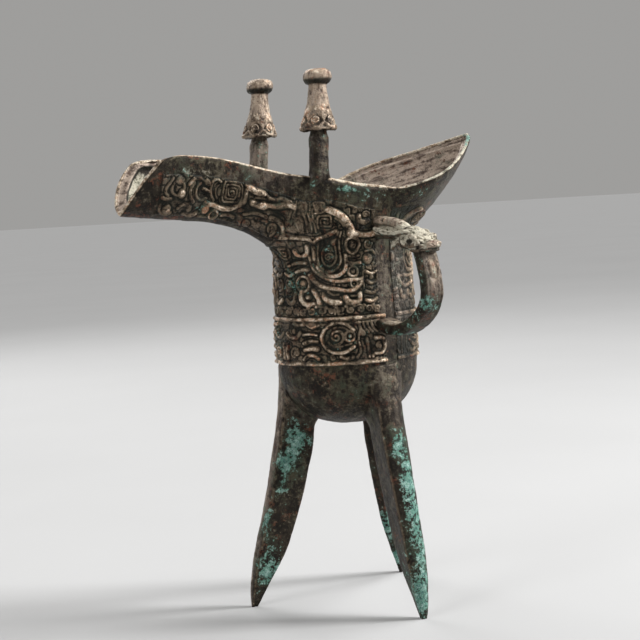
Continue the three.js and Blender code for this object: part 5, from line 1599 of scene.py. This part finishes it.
def build_legs(material):
    """Three legs about the cup's axis: one blade, set out by nodes."""
    rings = leg_rings()
    points, faces = tube(rings)
    mesh = bpy.data.meshes.new("legs")
    mesh.from_pydata((points * MM).tolist(), [], faces)
    mesh.shade_smooth()
    thing = show("legs_bladed", mesh)
    # The two long edges of the outer face, and the points beside them, which get wear and a painted highlight line
    arris = np.zeros(rings.shape[:2])
    arris[:, [0, FACE_POINTS - 1, FACE_POINTS, -1]] = 1
    set_attribute(thing, "arris", arris.ravel())
    t = Tree("set_out_legs")
    t.input("Count", "NodeSocketInt", LEG_COUNT)
    t.input("First angle", "NodeSocketFloat", math.radians(FIRST_LEG))
    t.input("Axis", "NodeSocketVector", tuple(AXIS * MM))
    t.begin()
    line = t.node("GeometryNodeMeshLine", {"mode": "OFFSET"}, Count=t.given("Count"), Offset=(0, 0, 0))
    there = t.node("GeometryNodeSetPosition", Geometry=line.outputs[0], Position=t.given("Axis"))
    index = t.node("GeometryNodeInputIndex")
    turn = t.node("ShaderNodeMath", {"operation": "MULTIPLY"})
    t.tree.links.new(index.outputs[0], turn.inputs[0])
    turn.inputs[1].default_value = 2 * math.pi / LEG_COUNT
    from_first = t.node("ShaderNodeMath", {"operation": "ADD"})
    t.tree.links.new(turn.outputs[0], from_first.inputs[0])
    t.tree.links.new(t.given("First angle"), from_first.inputs[1])
    upright = t.node("ShaderNodeCombineXYZ", Z=from_first.outputs[0])
    placed = t.node("GeometryNodeInstanceOnPoints", Points=there.outputs[0], Instance=t.given("Geometry"),
                    Rotation=upright.outputs[0])
    t.finish(thing, placed.outputs[0], material)
    # The handle's leg bends in at the foot, the tops lie on the wall, and a fillet runs round where they meet
    points, normals = points_of(thing), normals_of(thing)
    x, y, z = points.T
    handle_leg = smooth(-4, -12, y) * smooth(16, 10, np.abs(x))
    points[:, 1] += 2.6 * handle_leg * smooth(48, 0, z) ** 1.3
    to_wall = np.maximum(wall_field(x, y, z, 0), 0)
    fillet = 1.9 * np.clip(1 - to_wall / 6.5, 0, 1) ** 2 * smooth(66, 76, z)
    inner = smooth(0.75, 0.2, (normals[:, 0] * x + normals[:, 1] * y) / np.hypot(x, y))
    points += normals * (fillet * inner)[:, None]
    top = z > LEG_TOP
    wall = wall_radius(np.arctan2(y[top], x[top]), np.full(top.sum(), SHOULDER + 1.0))
    proud = 0.1 + 1.6 * smooth(LEG_ROOT, LEG_TOP, z[top])
    r = np.hypot(x[top], y[top])
    points[top, :2] *= (np.minimum(r, wall + proud) / r)[:, None]
    set_points(thing, points)
    weather(thing, 0.2, 9.0, 14)
    weather(thing, 0.09, 2.0, 15)
    points = points_of(thing)
    points[:, 2] = np.maximum(points[:, 2], 0)
    set_points(thing, points)
    x, y, z = points.T
    arris = np.empty(len(points), np.float32)
    thing.data.attributes["arris"].data.foreach_get("value", arris)
    # Earth on the outer and inner faces of the leg under the spout
    in_or_out = np.abs(normals[:, 0] * x + normals[:, 1] * y) / np.hypot(x, y)
    strip = 0.6 * smooth(8, -4, x) * smooth(-12, 0, y) * smooth(0.75, 0.95, in_or_out)
    # The edges of the outer face get rubbed metal: wear, and a painted highlight line along them
    dress(thing, verdigris=spots(points, LEG_GREEN) * (1 - strip),
          earth=np.maximum(0.14 * smooth(60, 90, z), strip), pale=0.1, relief=arris * 0.95,
          carved=arris * 0.6 * smooth(86, 74, z))
    return thing


# Operators

# Angles in degrees about the axis, with the handle at 270 and the far side's nose ridge at 90
BAND_START, NOSE_RIDGE, UPPER_END, LOWER_END = 280.8 - 360, 90, 266.2, 270.5

# Where the photographer stood, in millimetres about the cup's axis, and the picture's forward and right directions
EYE, FORWARD, RIGHT = (-330.81, -469.82, 157.95), (0.5595, 0.8252, -0.0771), (0.8238, -0.5639, -0.057)
LENS, SENSOR = 81.4, 36
CLIP = (0.01, 200)  # metres
FLOOR_REACH = 50.0  # metres
AIM = (0, 0, 0.12)  # what the lamps point at, in metres

# Name, kind, place in metres, power and size or angle of each lamp
LAMPS = [
    ("sky", "SUN", (0.9, -0.2, 1.6), 1.9, {"angle": math.radians(35)}),
    ("key", "AREA", (0.9, -0.62, 0.75), 17, {"size": 0.3}),
    ("left", "AREA", (-1.0, -0.1, 0.7), 3, {"size": 0.4}),
    ("back", "AREA", (0.1, 1.1, 0.9), 7, {"size": 0.8}),
]
WORLD_COLOUR, WORLD_STRENGTH = (0.82, 0.81, 0.79, 1), 0.42


def make_camera():
    """The camera where the photographer stood, turned as the photo is."""
    forward = Vector(FORWARD).normalized()
    right = Vector(RIGHT)
    right = (right - forward * right.dot(forward)).normalized()
    turned = Matrix((right, right.cross(forward), -forward)).transposed().to_4x4()
    camera = show("camera", bpy.data.cameras.new("camera"))
    camera.data.lens = LENS
    camera.data.sensor_width = SENSOR
    camera.data.clip_start, camera.data.clip_end = CLIP
    camera.matrix_world = Matrix.Translation(Vector((np.array(EYE) + AXIS) * MM)) @ turned
    return camera


def make_floor():
    """A wide plain floor."""
    mesh = bpy.data.meshes.new("floor")
    corners = [(x * FLOOR_REACH, y * FLOOR_REACH, 0) for x, y in ((-1, -1), (1, -1), (1, 1), (-1, 1))]
    mesh.from_pydata(corners, [], [(0, 1, 2, 3)])
    floor = show("floor", mesh)
    floor.data.materials.append(plain("floor_paint", tones().floor, 0.9))


def make_lamp(name, kind, place, power, settings):
    """A lamp that points at the vessel."""
    light = show(name, bpy.data.lights.new(name, kind))
    light.data.energy = power
    for key, value in settings.items():
        setattr(light.data, key, value)
    aim = Vector(AIM) - Vector(place)
    light.matrix_world = Matrix.Translation(place) @ aim.to_track_quat("-Z", "Y").to_matrix().to_4x4()


def bronze_set():
    """The finishes of the vessel, made once."""
    if "skin_plain" not in bpy.data.materials:
        bronze("skin_plain", tones(), film=0.7, red=0.9)
        bronze("skin_carved", tones(), wear=1.0, film=0.9, red=0.8)
        bronze("skin_cap", tones(), wear=1.1, film=0.35, red=0.8)
        bronze("skin_head", tones(), wear=1.0, film=0.7, red=0.5)
        bronze("skin_leg", tones(), wear=0.7, film=0.8, red=0.7)
    return bpy.data.materials


class MakeVessel(bpy.types.Operator):
    """Cup, spout and tail in one wall"""
    bl_idname = "jue.make_vessel"
    bl_label = "Vessel"

    def execute(self, context):
        vessel = build_vessel()
        finish_piece(vessel, bronze_set()["skin_plain"], "bronze_dark", "cup_body", "spout", "tail")
        return {"FINISHED"}


class MakeFriezes(bpy.types.Operator):
    """Carved bands on the cup and on both sides of the spout"""
    bl_idname = "jue.make_friezes"
    bl_label = "Friezes"

    def execute(self, context):
        carved = bronze_set()["skin_carved"]
        mask = carve_mask()
        for name, start, end in (("tail", BAND_START, NOSE_RIDGE), ("spout", NOSE_RIDGE, UPPER_END)):
            half = cup_frieze(f"upper_frieze_{name}_half", mask, UPPER_LOW, upper_top, start, end)
            finish_piece(half, carved, "bronze_worn", "upper_frieze")
        level = lambda angle: np.full(angle.shape, UPPER_LOW + 0.5)
        lower = cup_frieze("lower_frieze_carved", carve_lower(), LOWER_LOW, level, BAND_START, LOWER_END)
        finish_piece(lower, carved, "bronze_worn", "lower_frieze")
        panel = carve_spout()
        for name, side in (("near", -1), ("far", 1)):
            piece = spout_frieze(f"spout_frieze_{name}_carved", side, panel)
            finish_piece(piece, carved, "bronze_worn", f"spout_frieze_{name}")
        return {"FINISHED"}


class MakePosts(bpy.types.Operator):
    """The two posts on the rim and their caps"""
    bl_idname = "jue.make_posts"
    bl_label = "Posts and caps"

    def execute(self, context):
        skins = bronze_set()
        for name in LEANS:
            finish_piece(build_post(name), skins["skin_plain"], "bronze_dark", f"post_{name}")
            finish_piece(build_cap(name), skins["skin_cap"], "bronze_worn", f"cap_{name}")
        return {"FINISHED"}


class MakeHandle(bpy.types.Operator):
    """The strap and the ox head over it"""
    bl_idname = "jue.make_handle"
    bl_label = "Handle"

    def execute(self, context):
        skins = bronze_set()
        finish_piece(build_strap(skins["skin_plain"]), skins["skin_plain"], "bronze_dark", "handle_strap")
        finish_piece(build_head(), skins["skin_head"], "bronze_worn", "handle_ox_head")
        return {"FINISHED"}


class MakeLegs(bpy.types.Operator):
    """The three legs"""
    bl_idname = "jue.make_legs"
    bl_label = "Legs"

    def execute(self, context):
        skin = bronze_set()["skin_leg"]
        legs = build_legs(skin)
        finish_piece(legs, skin, "bronze_green", "leg_handle_side", "leg_spout_side", "leg_tail_side")
        return {"FINISHED"}


class MakeStage(bpy.types.Operator):
    """Floor, lamps and camera"""
    bl_idname = "jue.make_stage"
    bl_label = "Stage"

    def execute(self, context):
        scene = context.scene
        scene.view_settings.view_transform = "Standard"
        scene.camera = make_camera()
        make_floor()
        for lamp in LAMPS:
            make_lamp(*lamp)
        world = bpy.data.worlds.new("studio")
        world.use_nodes = True
        background = world.node_tree.nodes["Background"]
        background.inputs["Color"].default_value = WORLD_COLOUR
        background.inputs["Strength"].default_value = WORLD_STRENGTH
        scene.world = world
        return {"FINISHED"}


class JuePanel(bpy.types.Panel):
    """Lists the pieces of the vessel"""
    bl_idname = "VIEW3D_PT_jue"
    bl_label = "Bronze jue"
    bl_space_type = "VIEW_3D"
    bl_region_type = "UI"
    bl_category = "Jue"

    def draw(self, context):
        for group in (context.scene.jue_sizes, context.scene.jue_tones):
            for key in group.__annotations__:
                self.layout.prop(group, key)
        for operator in OPERATORS:
            self.layout.operator(operator.bl_idname)


OPERATORS = (MakeStage, MakeVessel, MakeFriezes, MakePosts, MakeHandle, MakeLegs)
CLASSES = (JueSizes, JueTones, *OPERATORS, JuePanel)


def register():
    for cls in CLASSES:
        bpy.utils.register_class(cls)
    bpy.types.Scene.jue_sizes = bpy.props.PointerProperty(type=JueSizes)
    bpy.types.Scene.jue_tones = bpy.props.PointerProperty(type=JueTones)


def unregister():
    del bpy.types.Scene.jue_tones
    del bpy.types.Scene.jue_sizes
    for cls in reversed(CLASSES):
        bpy.utils.unregister_class(cls)


def main():
    register()
    for operator in OPERATORS:
        group, name = operator.bl_idname.split(".")
        getattr(getattr(bpy.ops, group), name)()


if __name__ == "__main__":
    main()
